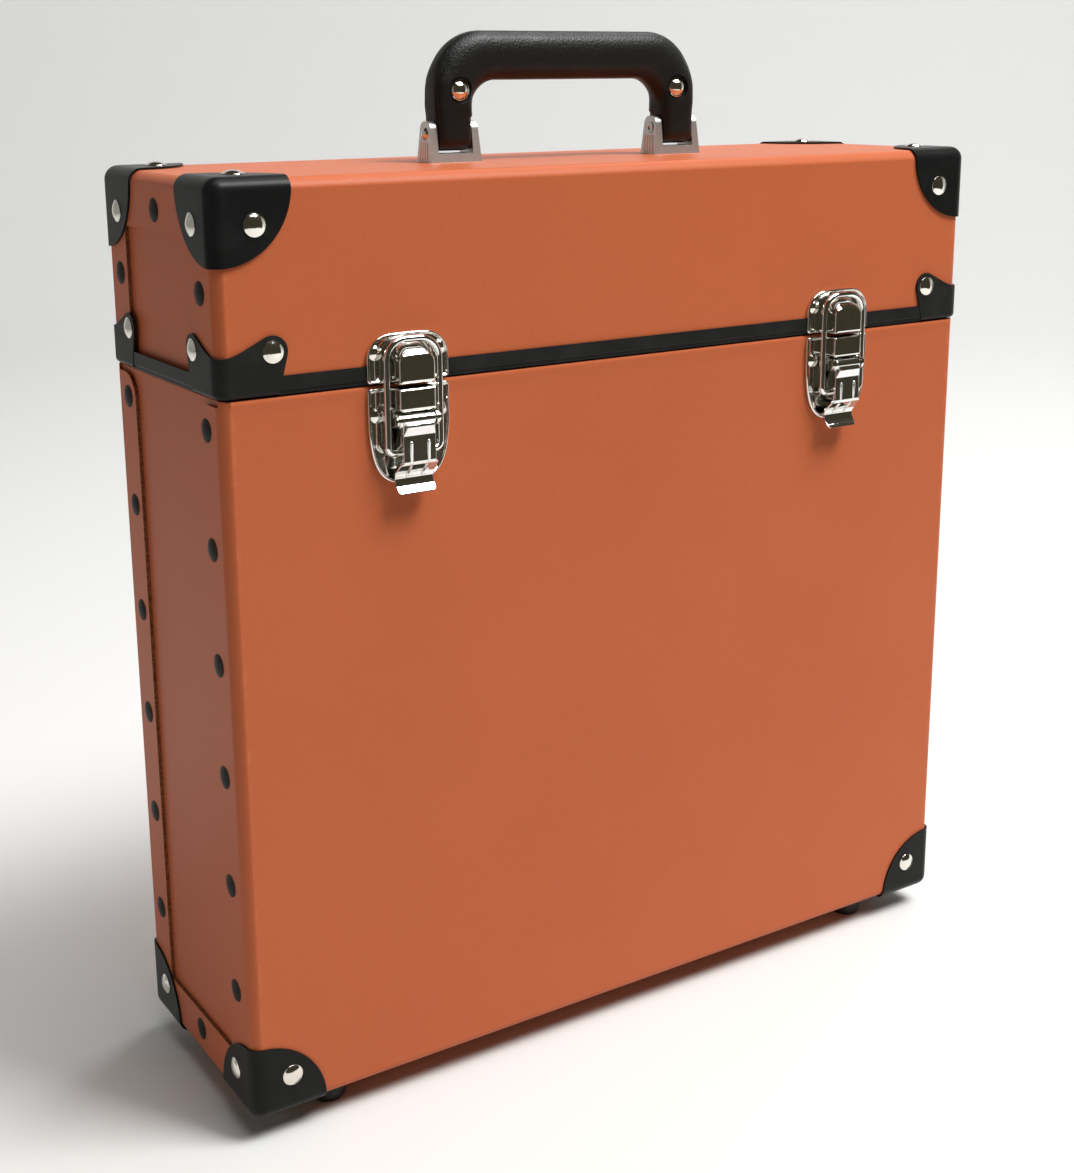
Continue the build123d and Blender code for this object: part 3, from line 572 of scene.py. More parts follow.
# rise is how far the frame's own heads stand above their seats
rivets = {
    "cap": {"radius": 4.15, "height": 1.5, "brim": 0.28, "rise": 2.0},
    "rim": {"radius": 4.05, "height": 1.45, "brim": 0.28, "rise": 1.9},
    "flap": {"radius": 4.4, "height": 0.9, "brim": 0.2, "rise": 0.9},
}


def domedHead(name, radius, height, brim, steps=32):
    # a rolled brim, then a low dome
    base, reach = brim * 1.15, radius * 0.93
    profile = [(radius - 0.12, 0.0), (radius, brim * 0.45), (radius - 0.07, brim * 0.9), (reach, base)]
    rise = height - base
    ball = (reach ** 2 + rise ** 2) / (2 * rise)
    start = asin(reach / ball)
    for step in range(1, 7):
        angle = start * (1 - step / 6)
        profile.append((ball * sin(angle), base + ball * cos(angle) - (ball - rise)))
    profile[-1] = (0, height)
    return turned(name, profile, steps)


def rivetSet(name, node, body, kind, slotName):
    values = rivets[kind]
    model = domedHead(name + "Model", values["radius"], values["height"], values["brim"])
    heads = seated(model, seatsOf(node, values["rise"]))
    discard(model)
    return finishPiece(joined(name, heads), body, slotName, finishOfSlot[slotName], node)


rivetSet("bodyCapRivets", "body_corner_rivets", "case", "cap", "nickel_rivet")
rivetSet("lidCapRivets", "lid_corner_rivets", "lid", "cap", "nickel_rivet")
rivetSet("rimRivets", "rim_corner_rivets", "lid", "rim", "nickel_rivet")
rivetSet("bodyFlapRivets", "body_flap_rivets", "case", "flap", "black_rivet")
rivetSet("lidFlapRivets", "lid_flap_rivets", "lid", "flap", "black_rivet")
print("rivets made")


def loft(name, rings):
    # a closed skin through rings of points, with its two ends filled: a grid wrapped round
    deselectAll()
    around = len(rings[0])
    bpy.ops.mesh.primitive_grid_add(x_subdivisions=around, y_subdivisions=len(rings) - 1, size=1)
    piece = added(name)
    for index, vertex in enumerate(piece.data.vertices):
        row, column = divmod(index, around + 1)
        vertex.co = Vector(rings[row][column % around]) * mm
    choose(piece, "VERT", everything)
    bpy.ops.mesh.remove_doubles(threshold=0.002 * mm)
    bpy.ops.mesh.fill_holes(sides=0)
    doneOutwards()
    return piece


def eased(points, radii, steps=6):
    # a run of 2-D points with its inner corners rounded
    path = [Vector(points[0])]
    for index in range(1, len(points) - 1):
        before, corner, after = (Vector(points[index + k]) for k in (-1, 0, 1))
        inward, outward = (corner - before).normalized(), (after - corner).normalized()
        turn = inward.angle(outward)
        radius = radii[index - 1]
        if turn < 0.01 or radius == 0:
            path.append(corner)
            continue
        reach = radius * abs(sin(turn / 2) / cos(turn / 2))
        side = 1 if inward.x * outward.y - inward.y * outward.x > 0 else -1
        start = corner - inward * reach
        centre = start + Vector((-inward.y, inward.x)) * radius * side
        arm = start - centre
        for step in range(steps + 1):
            c, s = cos(turn * step / steps * side), sin(turn * step / steps * side)
            path.append(centre + Vector((arm.x * c - arm.y * s, arm.x * s + arm.y * c)))
    path.append(Vector(points[-1]))
    return path


def loopEased(points, radii, steps=6):
    # a closed outline with its corners rounded
    count = len(points)
    outline = []
    for index in range(count):
        corner = [points[index - 1], points[index], points[(index + 1) % count]]
        bend = eased(corner, [radii[index]], steps)[1:-1]
        outline.extend(bend)
    return outline


def settle(share):
    # 0 to 1 with a soft start and end
    share = min(max(share, 0), 1)
    return share * share * (3 - 2 * share)


def squared(value, power):
    # a sine or cosine pushed out, so that the round it makes is squarer
    return abs(value) ** (2 / power) * (1 if value > 0 else -1)


def circle(steps):
    # the cosine and sine of each step round a circle
    return [(cos(2 * pi * step / steps), sin(2 * pi * step / steps)) for step in range(steps)]


def headings(path):
    # the direction of a run at each of its points
    found = []
    for index in range(len(path)):
        before, after = path[max(index - 1, 0)], path[min(index + 1, len(path) - 1)]
        found.append((after - before).normalized())
    return found


shell = {
    "board": 1.5, "fold": 4.1, "insideFold": 2.6, "foldShape": 0.4,
    "flap": 20.6, "flapDrop": 2.2, "flapBend": 10.0, "flapStep": 2.8,
    "seam": 0.5, "rimDepth": 1.25, "rimRise": 2.3, "edge": 0.22,
    "flare": 0.85, "flareRise": 7.0, "panelInset": 1.0, "panelRound": 0.7,
}
seenTop = rimEdge - shell["seam"]


def foldedBoard(name, height, flare):
    # one board folded round a tray's front, closed end and back, its flaps turned in over the side panels
    board, fold, flap = shell["board"], shell["fold"], shell["flap"]
    piece = block(name, (left, front, 0), (right, back, height))
    inner = block("inner", (left + board, front + board, board), (right - board, back - board, height + 5))
    for solid, bend in ((piece, fold), (inner, shell["insideFold"])):
        roundEdges(solid, lambda place, item: place.z < height - 1, bend, 8, shell["foldShape"])
    carve(piece, inner)
    flapTop = height - shell["flapDrop"]
    near, far = front + flap, back - flap
    first, last = front + shell["flapStep"], back - shell["flapStep"]
    corners = [(near, flap), (far, flap), (far, flapTop), (last, flapTop),
               (last, height + 5), (first, height + 5), (first, flapTop), (near, flapTop)]
    window = loopEased(corners, [0.5, 0.5, shell["flapBend"], 0.2, 0.2, 0.2, 0.2, shell["flapBend"]], 10)
    tool = thicken(flatShape("window", [(left - 2, y, z) for y, z in window]), (board + 2.3, 0, 0))
    carve(piece, copied(tool, "windowRight", mirrorX()))
    carve(piece, tool)

    def onRim(place, item):
        ends = [piece.data.vertices[index].co / mm for index in item.vertices]
        return all(end.z > height - 0.01 and not (front + 1 < end.y < back - 1) and abs(end.x) < right - 1.2
                   for end in ends) and not (front + 0.5 < place.y < back - 0.5)

    # the rim is rounded, deeper than it is thick
    rimDepth, flareRise = shell["rimDepth"], shell["flareRise"]
    roundEdges(piece, onRim, rimDepth, 6)
    for vertex in piece.data.vertices:
        depth = height - vertex.co.z / mm
        if 0 < depth < rimDepth + 0.01:
            vertex.co.z = (height - depth * shell["rimRise"] / rimDepth) * mm
    # the top of its front and back leans outwards
    choose(piece, "FACE", everything)
    bpy.ops.mesh.bisect(plane_co=(0, 0, (height - flareRise) * mm), plane_no=(0, 0, 1))
    done()
    for vertex in piece.data.vertices:
        place = vertex.co / mm
        share = (place.z - height + flareRise) / flareRise
        if share > 0.01 and abs(place.x) < right - fold and not (front + 0.9 < place.y < back - 0.9):
            vertex.co.y += (1 if place.y > 0 else -1) * flare * share * share * mm
    return softenEdges(piece, shell["edge"], 2, 50)


def sidePanel(name, height):
    board = shell["board"]
    inset = board + shell["panelInset"]
    piece = block(name, (left + board, front + inset, inset), (left + 2 * board, back - inset, height))
    roundEdges(piece, lambda place, item: place.z > height - 0.01 and place.x < left + board + 0.01,
               shell["panelRound"], 4)
    return softenEdges(piece, shell["edge"], 2, 50)


def placeBoards():
    trays = (("body", seenTop - bottom, shell["flare"], moved(0, 0, bottom), "case", bodyBoard),
             ("lid", lidTop - lidEdge, 0, mirrorZ(lidTop / 2), "lid", lidBoard))
    for name, height, flare, turn, body, material in trays:
        model = foldedBoard("board", height, flare)
        finishPiece(copied(model, name + "Board", turn), body, "board", material, name + "_wrap")
        discard(model)
        panel = sidePanel("panel", height)
        for side, pose in (("Left", turn), ("Right", turn @ mirrorX())):
            finishPiece(copied(panel, name + "Side" + side, pose), body, "board", material,
                        name + "_" + side.lower() + "_panel")
        discard(panel)


placeBoards()
print("boards folded")


strip = {"thickness": 0.7, "web": 0.6, "lip": 2.1, "neck": 0.15, "ease": 0.22}


def edgeStrip(name):
    # the binding of the lid's edge: a flat bar outside, and a web drawn in under the board
    node = "rim_strip_" + name
    low, high = (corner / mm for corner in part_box(node))
    out, neck, web = strip["thickness"], strip["neck"], strip["web"]
    across = min(high.x - low.x, high.y - low.y) - out
    bar = rimEdge + strip["lip"]
    section = [(0, high.z), (out, high.z), (out, bar), (neck, bar - 0.6), (neck, rimEdge + 0.1),
               (neck - 0.1, rimEdge), (-across, rimEdge), (-across, rimEdge + web), (0, rimEdge + web)]
    edge, way = {"front": (front, -1), "back": (back, 1), "left": (left, -1), "right": (right, 1)}[name]
    if name in ("front", "back"):
        points = [(low.x, edge + way * depth, z) for depth, z in section]
        run = (high.x - low.x, 0, 0)
    else:
        points = [(edge + way * depth, low.y, z) for depth, z in section]
        run = (0, high.y - low.y, 0)
    piece = thicken(flatShape("rimStrip_" + name, points), run)
    softenEdges(piece, strip["ease"], 2, 30)
    return finishPiece(piece, "lid", "black_steel", rimLacquer, node)


for side in ("front", "back", "left", "right"):
    edgeStrip(side)
print("rim strips made")


# a lobe is how far its centre is from the corner, and its radius
cap = {"thickness": 0.9, "bend": 4.5, "bodyLobe": (1.7, 27.8), "lidLobe": (2.0, 27.7), "rimRadius": 0.3}


def capModel(name, centre, radius):
    # the cap over the left front bottom corner
    skin, bend = cap["thickness"], cap["bend"]
    outer = block(name, (left - skin, front - skin, bottom - skin), (left + 40, front + 40, bottom + 40))
    inner = block("inner", (left, front, bottom), (left + 50, front + 50, bottom + 50))
    for piece, grow in ((outer, skin), (inner, 0)):
        edge = (left - grow, front - grow, bottom - grow)

        def atCorner(place, item):
            near = [abs(place[axis] - edge[axis]) < 0.01 for axis in range(3)]
            return sum(near) == 2

        roundEdges(piece, atCorner, bend + grow, 8)
    carve(outer, inner)
    x, y, z = left + centre, front + centre, bottom + centre
    lobes = rod("lobe", radius, (x, front - 2, z), (x, front + bend, z), 96)
    carve(lobes, rod("lobe", radius, (left - 2, y, z), (left + bend, y, z), 96), "UNION")
    carve(lobes, rod("lobe", radius, (x, y, bottom - 2), (x, y, bottom + bend), 96), "UNION")
    carve(outer, lobes, "INTERSECT")
    return softenEdges(outer, cap["rimRadius"], 3, 40)


def atEachCorner(*kinds):
    # copies of models at the four corners; each kind is a model, how it is turned first, and what to call it
    for corner, turn in cornerTurns.items():
        for model, first, name, body, material, node in kinds:
            piece = copied(model, name + corner, first @ turn)
            finishPiece(piece, body, "black_steel", material, node + corner)
    discard(*(kind[0] for kind in kinds))


asMade, overturned = Matrix.Identity(4), mirrorZ((bottom + lidTop) / 2)
atEachCorner(
    (capModel("bodyCap", *cap["bodyLobe"]), asMade, "bodyCap_", "case", blackLacquer, "body_corner_"),
    (capModel("lidCap", *cap["lidLobe"]), overturned, "lidCap_", "lid", blackLacquer, "lid_corner_"))
print("corner caps made")


rimCorner = {
    "thickness": 0.9, "foot": 22.0, "ear": 5.7, "earReach": 20.3, "earRise": 15.5, "saddle": 14.3, "web": 0.6,
    "lowerRound": 1.9, "ease": 0.25,
}


def rimCornerOutline():
    # half of it laid flat: (distance from the corner, height above the rim)
    foot, ear, reach, rise = (rimCorner[key] for key in ("foot", "ear", "earReach", "earRise"))
    outline = [(0, 0), (foot, 0)]
    start, end = radians(-14), radians(116)
    for step in range(25):
        angle = start + (end - start) * step / 24
        outline.append((reach + ear * cos(angle), rise + ear * sin(angle)))
    x0, z0 = outline[-1]
    for step in range(1, 17):
        t = step / 16
        weights = ((1 - t) ** 3, 3 * t * (1 - t) ** 2, 3 * t * t * (1 - t), t ** 3)
        controls = ((x0, z0), (11.5, 17.8), (6.5, rimCorner["saddle"]), (0, rimCorner["saddle"]))
        outline.append(tuple(sum(w * place[axis] for w, place in zip(weights, controls)) for axis in (0, 1)))
    return outline


def rimCornerModel():
    # the binding's corner at the left front: a folded plate with an ear on each side
    skin, web, reach = (rimCorner[key] for key in ("thickness", "web", "foot"))
    bend = cap["bend"]
    model = block("rimCorner", (left - skin, front - skin, rimEdge), (left + 30, front + 30, rimEdge + 30))
    boards = block("boards", (left, front, rimEdge + web), (left + 50, front + 50, rimEdge + 50))
    for piece, grow in ((model, skin), (boards, 0)):

        def upright(place, item):
            return abs(place.x - left + grow) < 0.01 and abs(place.y - front + grow) < 0.01

        roundEdges(piece, upright, bend + grow, 10)

    def onLowerEdge(place, item):
        return place.z < rimEdge + 0.01 and place.x < left + 29.9 and place.y < front + 29.9

    roundEdges(model, onLowerEdge, rimCorner["lowerRound"], 6)
    carve(model, boards)
    low, high = (left + 3, front + 1.5, rimEdge - 5), (left + 50, front + 50, rimEdge + 50)
    carve(model, block("opening", low, high))
    outline, depth = rimCornerOutline(), bend + 2
    onFront = [(left + x, front + bend, rimEdge + z) for x, z in outline]
    onSide = [(left + bend, front + x, rimEdge + z) for x, z in outline]
    tool = thicken(flatShape("tool", onFront), (0, -depth, 0))
    carve(tool, thicken(flatShape("tool", onSide), (-depth, 0, 0)), "UNION")
    floor = block("web", (left - 2, front - 2, rimEdge - 1), (left + reach, front + reach, rimEdge + web))
    carve(tool, floor, "UNION")
    carve(model, tool, "INTERSECT")
    return softenEdges(model, rimCorner["ease"], 2, 40)


atEachCorner((rimCornerModel(), asMade, "rimCorner_", "lid", rimLacquer, "rim_corner_"))
print("rim corners made")


foot = {"radius": 7.3, "tread": 5.7, "recess": 2.9, "recessDepth": 3.5}


def footModel():
    # a rubber foot with a round tread, and a recess for its screw
    radius, tread = foot["radius"], foot["tread"]
    profile = [(tread, 0.0), (tread + 0.6, 0.25), (radius - 0.35, 1.2), (radius, 2.6), (radius, 4.5),
               (radius - 0.3, bottom)]
    piece = turned("foot", profile, 48)
    return carve(piece, rod("recess", foot["recess"], (0, 0, -1), (0, 0, foot["recessDepth"])))


def placeFeet():
    model = footModel()
    for corner in cornerTurns:
        low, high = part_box("foot_" + corner)
        centre = (low + high) / 2 / mm
        piece = copied(model, "foot_" + corner + "_shape", moved(centre.x, centre.y, 0))
        finishPiece(piece, "case", "rubber", footRubber, "foot_" + corner)
    discard(model)


placeFeet()
print("feet made")


latch = {
    "across": 104.5, "halfWidth": 16.8, "plateTop": 297.5, "plateBottom": 241.5,
    "shoulder": 263.0, "belly": 3.2, "taper": 0.10, "crown": 0.5, "topBend": 9.6,
    "seamLow": 277.8, "seamHigh": 279.4, "seamBend": 1.5,
    "rim": 1.7, "rimRoll": 0.75, "rimLean": 0.6, "field": 1.1, "rimWidth": 1.3,
    "hump": 7.6, "proud": 8.8, "roll": 1.15, "flare": 0.7,
    "rampLow": 290.0, "rampHigh": 295.6, "humpBottom": 269.2,
    "rivetAcross": 13.2, "rivetHeights": (267.7, 290.6), "rivetRadius": 2.8, "rivetHeight": 1.2,
    "pivot": (7.2, 266.0), "knuckle": 2.4, "sheet": 1.1, "lever": 6.7, "lugs": (7.05, 8.15), "lugRadius": 2.6,
    "wire": 1.3, "wireHalf": 10.9, "wireTop": 295.3, "wireFoot": 253.9, "wireProud": 4.8, "wireEnd": 5.4,
}


def onLatch(u, proud, z):
    # a point about a latch's own middle: u across, proud of the front, z above the body's underside
    return (u, front - proud, bottom + z)


def basePlateOutline(inset):
    # the body's plate, drawn in by an inset: square at the seam, with a round belly below
    half, top = latch["halfWidth"] - inset, latch["seamLow"] - inset
    low, shoulder = latch["plateBottom"] + inset, latch["shoulder"]
    bend = max(latch["seamBend"] - inset, 0.2)
    corners = [(half, shoulder), (half, top), (-half, top), (-half, shoulder)]
    outline = loopEased(corners, [0, bend, bend, 0], 5)
    for step in range(47, 0, -1):
        angle = pi * step / 48
        reach, fall = squared(cos(angle), latch["belly"]), squared(sin(angle), latch["belly"])
        outline.append((half * reach * (1 - latch["taper"] * fall), shoulder - (shoulder - low) * fall))
    return outline


def catchPlateOutline(inset):
    # the lid's plate: a slightly crowned top with round corners, square at the seam
    half, low, top = latch["halfWidth"] - inset, latch["seamHigh"] + inset, latch["plateTop"] - inset
    bend, seam = latch["topBend"] - inset, max(latch["seamBend"] - inset, 0.2)
    crown = latch["crown"]
    corners = [(half, low), (half, top - crown), (0, top), (-half, top - crown), (-half, low)]
    return loopEased(corners, [seam, bend, 12, bend, seam], 12)


def platePiece(name, outline):
    # a plate with a rolled rim and a sunk field, from (inset, proud) rings
    rim, field, width, roll, lean = (latch[key] for key in ("rim", "field", "rimWidth", "rimRoll", "rimLean"))
    profile = [(0, 0), (0, rim - roll)]
    for step in range(1, 7):
        angle = radians(15 * step)
        profile.append((lean * (1 - cos(angle)), rim - roll * (1 - sin(angle))))
    for step in range(1, 7):
        profile.append((lean + (width - lean) * step / 6, rim + (field - rim) * settle(step / 6)))
    profile.append((width + lean, field - 0.02))
    return loft(name, [[onLatch(u, proud, z) for u, z in outline(inset)] for inset, proud in profile])


def humpPiece(name, low, high, ramp=0.0):
    # a pressed box that flares out of its plate, with a roll round its face; a ramp leans its top back
    foot, proud, flare, roll = latch["field"] - 0.1, latch["proud"], latch["flare"], latch["roll"]
    levels = []
    for angle in (0, 25, 45, 65, 90):
        turn = radians(angle)
        levels.append((foot + flare * (1 - cos(turn)), flare * (1 - sin(turn))))
    for angle in range(0, 91, 15):
        turn = radians(angle)
        levels.append((proud - roll * (1 - sin(turn)), roll * (cos(turn) - 1)))
    levels.append((proud, -roll - 0.3))
    rings = []
    for depth, out in levels:
        half = latch["hump"] - 0.02 * depth + out
        seamBend = max(0.5 + out, 0.15)
        if ramp:
            lean = (depth - foot) / (proud - foot)
            floor, top = low - min(out, 0), high + (ramp - high) * lean + out
            bends = [seamBend, max(7.0 - 3.6 * lean + out, 1.0)]
        else:
            floor, top = low - out, high + min(out, 0)
            bends = [max(1.3 + out, 0.4), seamBend]
        corners = [(half, floor), (half, top), (-half, top), (-half, floor)]
        rings.append([onLatch(u, depth, z) for u, z in loopEased(corners, bends + bends[::-1], 8)])
    return loft(name, rings)


def sheetRun(name, stations, thickness):
    # a strip of sheet metal along (proud, z, half width) stations
    path = [Vector((proud, z)) for proud, z, half in stations]
    rings = []
    corner = min(0.35, thickness / 2 - 0.05)
    for (proud, z, half), way in zip(stations, headings(path)):
        across = Vector((way.y, -way.x))
        ring = []
        for su, sn in ((1, 1), (-1, 1), (-1, -1), (1, -1)):
            for angle in (0, 30, 60, 90):
                c, s = cos(radians(angle)), sin(radians(angle))
                a, b = (c, s) if su * sn > 0 else (s, c)
                u = su * (half - corner + corner * a)
                n = sn * (thickness / 2 - corner + corner * b)
                ring.append(onLatch(u, proud + across.x * n, z + across.y * n))
        rings.append(ring)
    return loft(name, rings)


def stationsAlong(points, radii, steps=6):
    # rounds a run of (proud, z, half width) points, easing the width along it
    flat = eased([(proud, z) for proud, z, half in points], radii, steps)
    lengths = [0.0]
    for a, b in zip(points, points[1:]):
        lengths.append(lengths[-1] + hypot(b[0] - a[0], b[1] - a[1]))
    total = sum((b - a).length for a, b in zip(flat, flat[1:]))
    found, travelled, last = [], 0.0, flat[0]
    for place in flat:
        travelled += (place - last).length
        last = place
        reach = travelled / total * lengths[-1]
        for index in range(len(points) - 1):
            if reach <= lengths[index + 1] + 1e-6:
                share = (reach - lengths[index]) / max(lengths[index + 1] - lengths[index], 1e-6)
                half = points[index][2] + (points[index + 1][2] - points[index][2]) * min(max(share, 0), 1)
                break
        found.append((place.x, place.y, half))
    return found


def bead(name, u, radius, start, end):
    # a rib with round ends between two (proud, z) points
    run = Vector((end[0] - start[0], end[1] - start[1]))
    way = run.normalized()
    side = Vector((way.y, -way.x))
    tip = [(radius * cos(radians(angle)), radius * sin(radians(angle))) for angle in (5, 25, 45, 65)]
    stations = [(-beyond, size) for beyond, size in tip] + [(0, radius), (run.length, radius)]
    stations += [(run.length + beyond, size) for beyond, size in reversed(tip)]
    rings = []
    for distance, size in stations:
        proud, z = start[0] + way.x * distance, start[1] + way.y * distance
        rings.append([onLatch(u + size * c, proud + side.x * size * s, z + side.y * size * s)
                      for c, s in circle(16)])
    return loft(name, rings)


def leverModel():
    # the web as (proud, z, half width) stations: from the roll over the kink and the panel to the tab's end
    sheet, half = latch["sheet"], latch["lever"]
    points = [
        (8.3, 266.3, 5.65), (9.85, 263.95, 5.65), (8.35, 260.6, half), (8.35, 259.4, half),
        (8.5, 250.7, half), (7.95, 249.9, 8.0), (4.4, 246.2, 8.4), (3.3, 244.0, 8.0), (3.6, 242.4, 8.0),
        (4.3, 240.9, 8.1), (5.4, 239.5, 8.0), (6.0, 238.85, 7.7), (6.25, 238.5, 7.2), (6.4, 238.25, 6.6),
    ]
    bends = [0.8, 0.5, 0, 0.5, 0.5, 1.0, 1.1, 2.5, 2.5, 2.5, 0, 0, 0]
    pieces = [sheetRun("lever", stationsAlong(points, bends), sheet)]
    proud, z = latch["pivot"]
    roll = rod("roll", latch["knuckle"], onLatch(-half + 0.05, proud, z), onLatch(half - 0.05, proud, z), 48)
    softenEdges(roll, 0.5, 3)
    pieces.append(roll)
    cheek = [(8.7, 264.0), (8.4, 260.8), (7.9, 250.9), (3.4, 250.9), (2.9, 252.4), (2.9, 257.4),
             (4.4, 262.4), (6.2, 264.4)]
    outline = loopEased(cheek, [0.3, 0, 0.3, 0.6, 1.0, 2.0, 1.0, 0.3], 4)
    wall = flatShape("cheek", [onLatch(half - sheet, p, z) for p, z in outline])
    thicken(wall, (sheet, 0, 0))
    softenEdges(wall, 0.3, 3)
    pieces += [wall, copied(wall, "cheekLeft", mirrorX())]
    # ribs as (distance from the middle, radius, start, end): on the panel, then down over the bend
    ribs = ((3.6, 0.75, (8.9, 257.7), (8.45, 250.5)), (3.2, 0.6, (7.5, 248.9), (4.95, 246.1)),
            (3.2, 0.6, (4.95, 246.1), (4.2, 244.5)))
    pieces += [bead("rib", side * u, *rest) for side in (-1, 1) for u, *rest in ribs]
    return joined("lever", pieces)


def bailModel():
    # a round wire along (u, z) points, bent to a hoop with its two ends turned in
    half, top, foot, end = (latch[key] for key in ("wireHalf", "wireTop", "wireFoot", "wireEnd"))
    wire, proud = latch["wire"], latch["wireProud"]
    corners = [(-end, foot), (-half, foot), (-half, top), (half, top), (half, foot), (end, foot)]
    path = eased(corners, [2.4, 8.0, 8.0, 2.4], 12)
    rings = []
    for place, way in zip(path, headings(path)):
        side = Vector((way.y, -way.x)) * wire
        rings.append([onLatch(place.x + side.x * c, proud + wire * s, place.y + side.y * c)
                      for c, s in circle(20)])
    return softenEdges(loft("bail", rings), 0.3, 2, 60)


def baseModel():
    # the body's plate and hump, and the two lugs that hold the lever's pin
    hump = humpPiece("baseHump", latch["humpBottom"], latch["seamLow"])
    pieces = [platePiece("base", basePlateOutline), hump]
    (proud, z), (inner, outer), radius = latch["pivot"], latch["lugs"], latch["lugRadius"]
    lug = rod("lug", radius, onLatch(inner, proud, z), onLatch(outer, proud, z), 32)
    low, high = onLatch(inner, proud, z - radius), onLatch(outer, latch["field"] - 0.2, z + radius)
    carve(lug, block("arm", low, high), "UNION")
    softenEdges(lug, 0.25, 2)
    pieces += [lug, copied(lug, "lugLeft", mirrorX())]
    return joined("base", pieces)


def placeLatches():
    base = baseModel()
    hump = humpPiece("catchHump", latch["seamHigh"], latch["rampHigh"], latch["rampLow"])
    catch = joined("catch", [platePiece("catch", catchPlateOutline), hump])
    lever, bail = leverModel(), bailModel()
    head = domedHead("head", latch["rivetRadius"], latch["rivetHeight"], 0.15, 28)
    for side, place in (("left", -latch["across"]), ("right", latch["across"])):
        baseNode, catchNode = "latch_base_" + side, "latch_catch_" + side
        makes = ((base, baseNode + "_shape", "case", latchPlate, baseNode),
                 (catch, catchNode + "_shape", "lid", latchPlate, catchNode),
                 (lever, "lever_" + side, side + "_lever", leverNickel, "latch_lever_" + side),
                 (bail, "bail_" + side, side + "_bail", leverNickel, "latch_bail_" + side))
        for model, name, body, material, node in makes:
            finishPiece(copied(model, name, moved(place, 0, 0)), body, "nickel_plate", material, node)
    low, high = latch["rivetHeights"]
    across, apart = latch["across"], latch["rivetAcross"]
    for z, body, node in ((low, "case", "latch_base_rivets"), (high, "lid", "catch_rivets")):
        seats = [(Vector(onLatch(x, latch["field"], z)), Vector((0, -1, 0)))
                 for x in (-across - apart, apart - across, across - apart, across + apart)]
        finishPiece(joined(node + "_heads", seated(head, seats)), body, "nickel_plate", nickelBright, node)
    discard(base, catch, lever, bail, head)


placeLatches()
print("latches made")


# rises are above the top of the lid
handle = {
    "outer": 63.0, "top": 50.3, "underside": 31.3, "inner": 46.4, "outerBend": 22.5, "innerBend": 12.5,
    "legAcross": 54.8, "legWidth": 15.3, "legThickness": 13.4, "gripThickness": 15.6,
    "neck": 16.8, "footReach": 7.4, "growth": 16.0, "legSquareness": 5.0, "gripSquareness": 2.5,
    "rivetAcross": 53.0, "rivetRise": 27.6, "rivetRadius": 4.1, "rivetHeight": 2.4, "rivetBrim": 0.3,
    "seatDepth": 6.1, "seatRadius": 5.2,
    "groove": 0.7, "grooveInset": 2.2, "grooveHalf": 0.7, "grooveTop": 36.0, "grooveFade": 8.0,
}
bracket = {
    "across": 54.6, "width": 23.0, "depth": 11.5, "topDepth": 7.6, "height": 15.9, "floor": 3.4,
    "slot": 15.7, "lean": 0.9, "pinRise": 11.0, "recess": 2.5, "ease": 0.38,
    "flute": 0.62, "flutePlaces": (-3.0, -1.0, 1.0, 3.0),
}


def legStations():
    # outer and inner edge of the left half, as (x, rise) pairs from the foot to the middle of the grip
    half, neck = handle["legWidth"] / 2, handle["neck"]
    outer = (-handle["legAcross"] - half, -handle["outer"], handle["top"], handle["outerBend"])
    inner = (-handle["legAcross"] + half, -handle["inner"], handle["underside"], handle["innerBend"])
    edges = []
    for leg, edge, top, bend in (outer, inner):
        run = [(leg, rise) for rise in (4.4, 5.2, 6.0, 7.0, 8.0, 9.5, 11.0, 14.0, neck)]
        for step in range(1, 9):
            run.append((leg + (edge - leg) * settle(step / 4), neck + (top - bend - neck) * step / 8))
        for step in range(1, 25):
            angle = radians(180 - 90 * step / 24)
            run.append((edge + bend * (1 + cos(angle)), top - bend + bend * sin(angle)))
        end = run[-1][0]
        run += [(end * (1 - step / 8), top) for step in range(1, 9)]
        edges.append(run)
    return list(zip(*edges))


def gripSeats():
    # where the grip's four rivets sit, and which way each one faces
    across, depth, height = handle["rivetAcross"], handle["seatDepth"], lidTop + handle["rivetRise"]
    return [(Vector((side * across, middle + face * depth, height)), Vector((0, face, 0)))
            for side in (-1, 1) for face in (-1, 1)]


def gripRing(outer, inner):
    # the section between two edge points: squarish at the legs, rounder along the grip
    centre, across = (outer + inner) / 2, (outer - inner) / 2
    rise = centre.y
    grown = settle((rise - handle["neck"]) / handle["growth"])
    thick = (handle["legThickness"] + (handle["gripThickness"] - handle["legThickness"]) * grown) / 2
    # the foot turns about the bracket's pin
    drop = max(bracket["pinRise"] - rise, 0)
    thick = min(thick, sqrt(handle["footReach"] ** 2 - drop ** 2))
    power = handle["legSquareness"] + (handle["gripSquareness"] - handle["legSquareness"]) * grown
    depth = handle["groove"] * min(max((handle["grooveTop"] - rise) / handle["grooveFade"], 0), 1)
    ring = []
    for c, s in circle(72):
        a, y = squared(c, power), squared(s, power) * thick
        # a groove runs up the outer side of each leg, front and back
        line = abs(abs(y) - (thick - handle["grooveInset"])) / handle["grooveHalf"]
        dent = depth * max(0, 1 - line * line) if a > 0.6 else 0
        place = centre + across * a * (1 - dent / across.length)
        ring.append((place.x, middle + y, lidTop + place.y))
    return ring


def footRings(ring):
    # three smaller rings that round off the foot of a leg
    centre = sum((Vector(point) for point in ring), Vector()) / len(ring)
    return [[(centre.x + (x - centre.x) * min(size + 0.08, 1), centre.y + (y - centre.y) * size, z + lift)
             for x, y, z in ring] for lift, size in ((0.0, 0.62), (0.2, 0.80), (0.6, 0.92))]


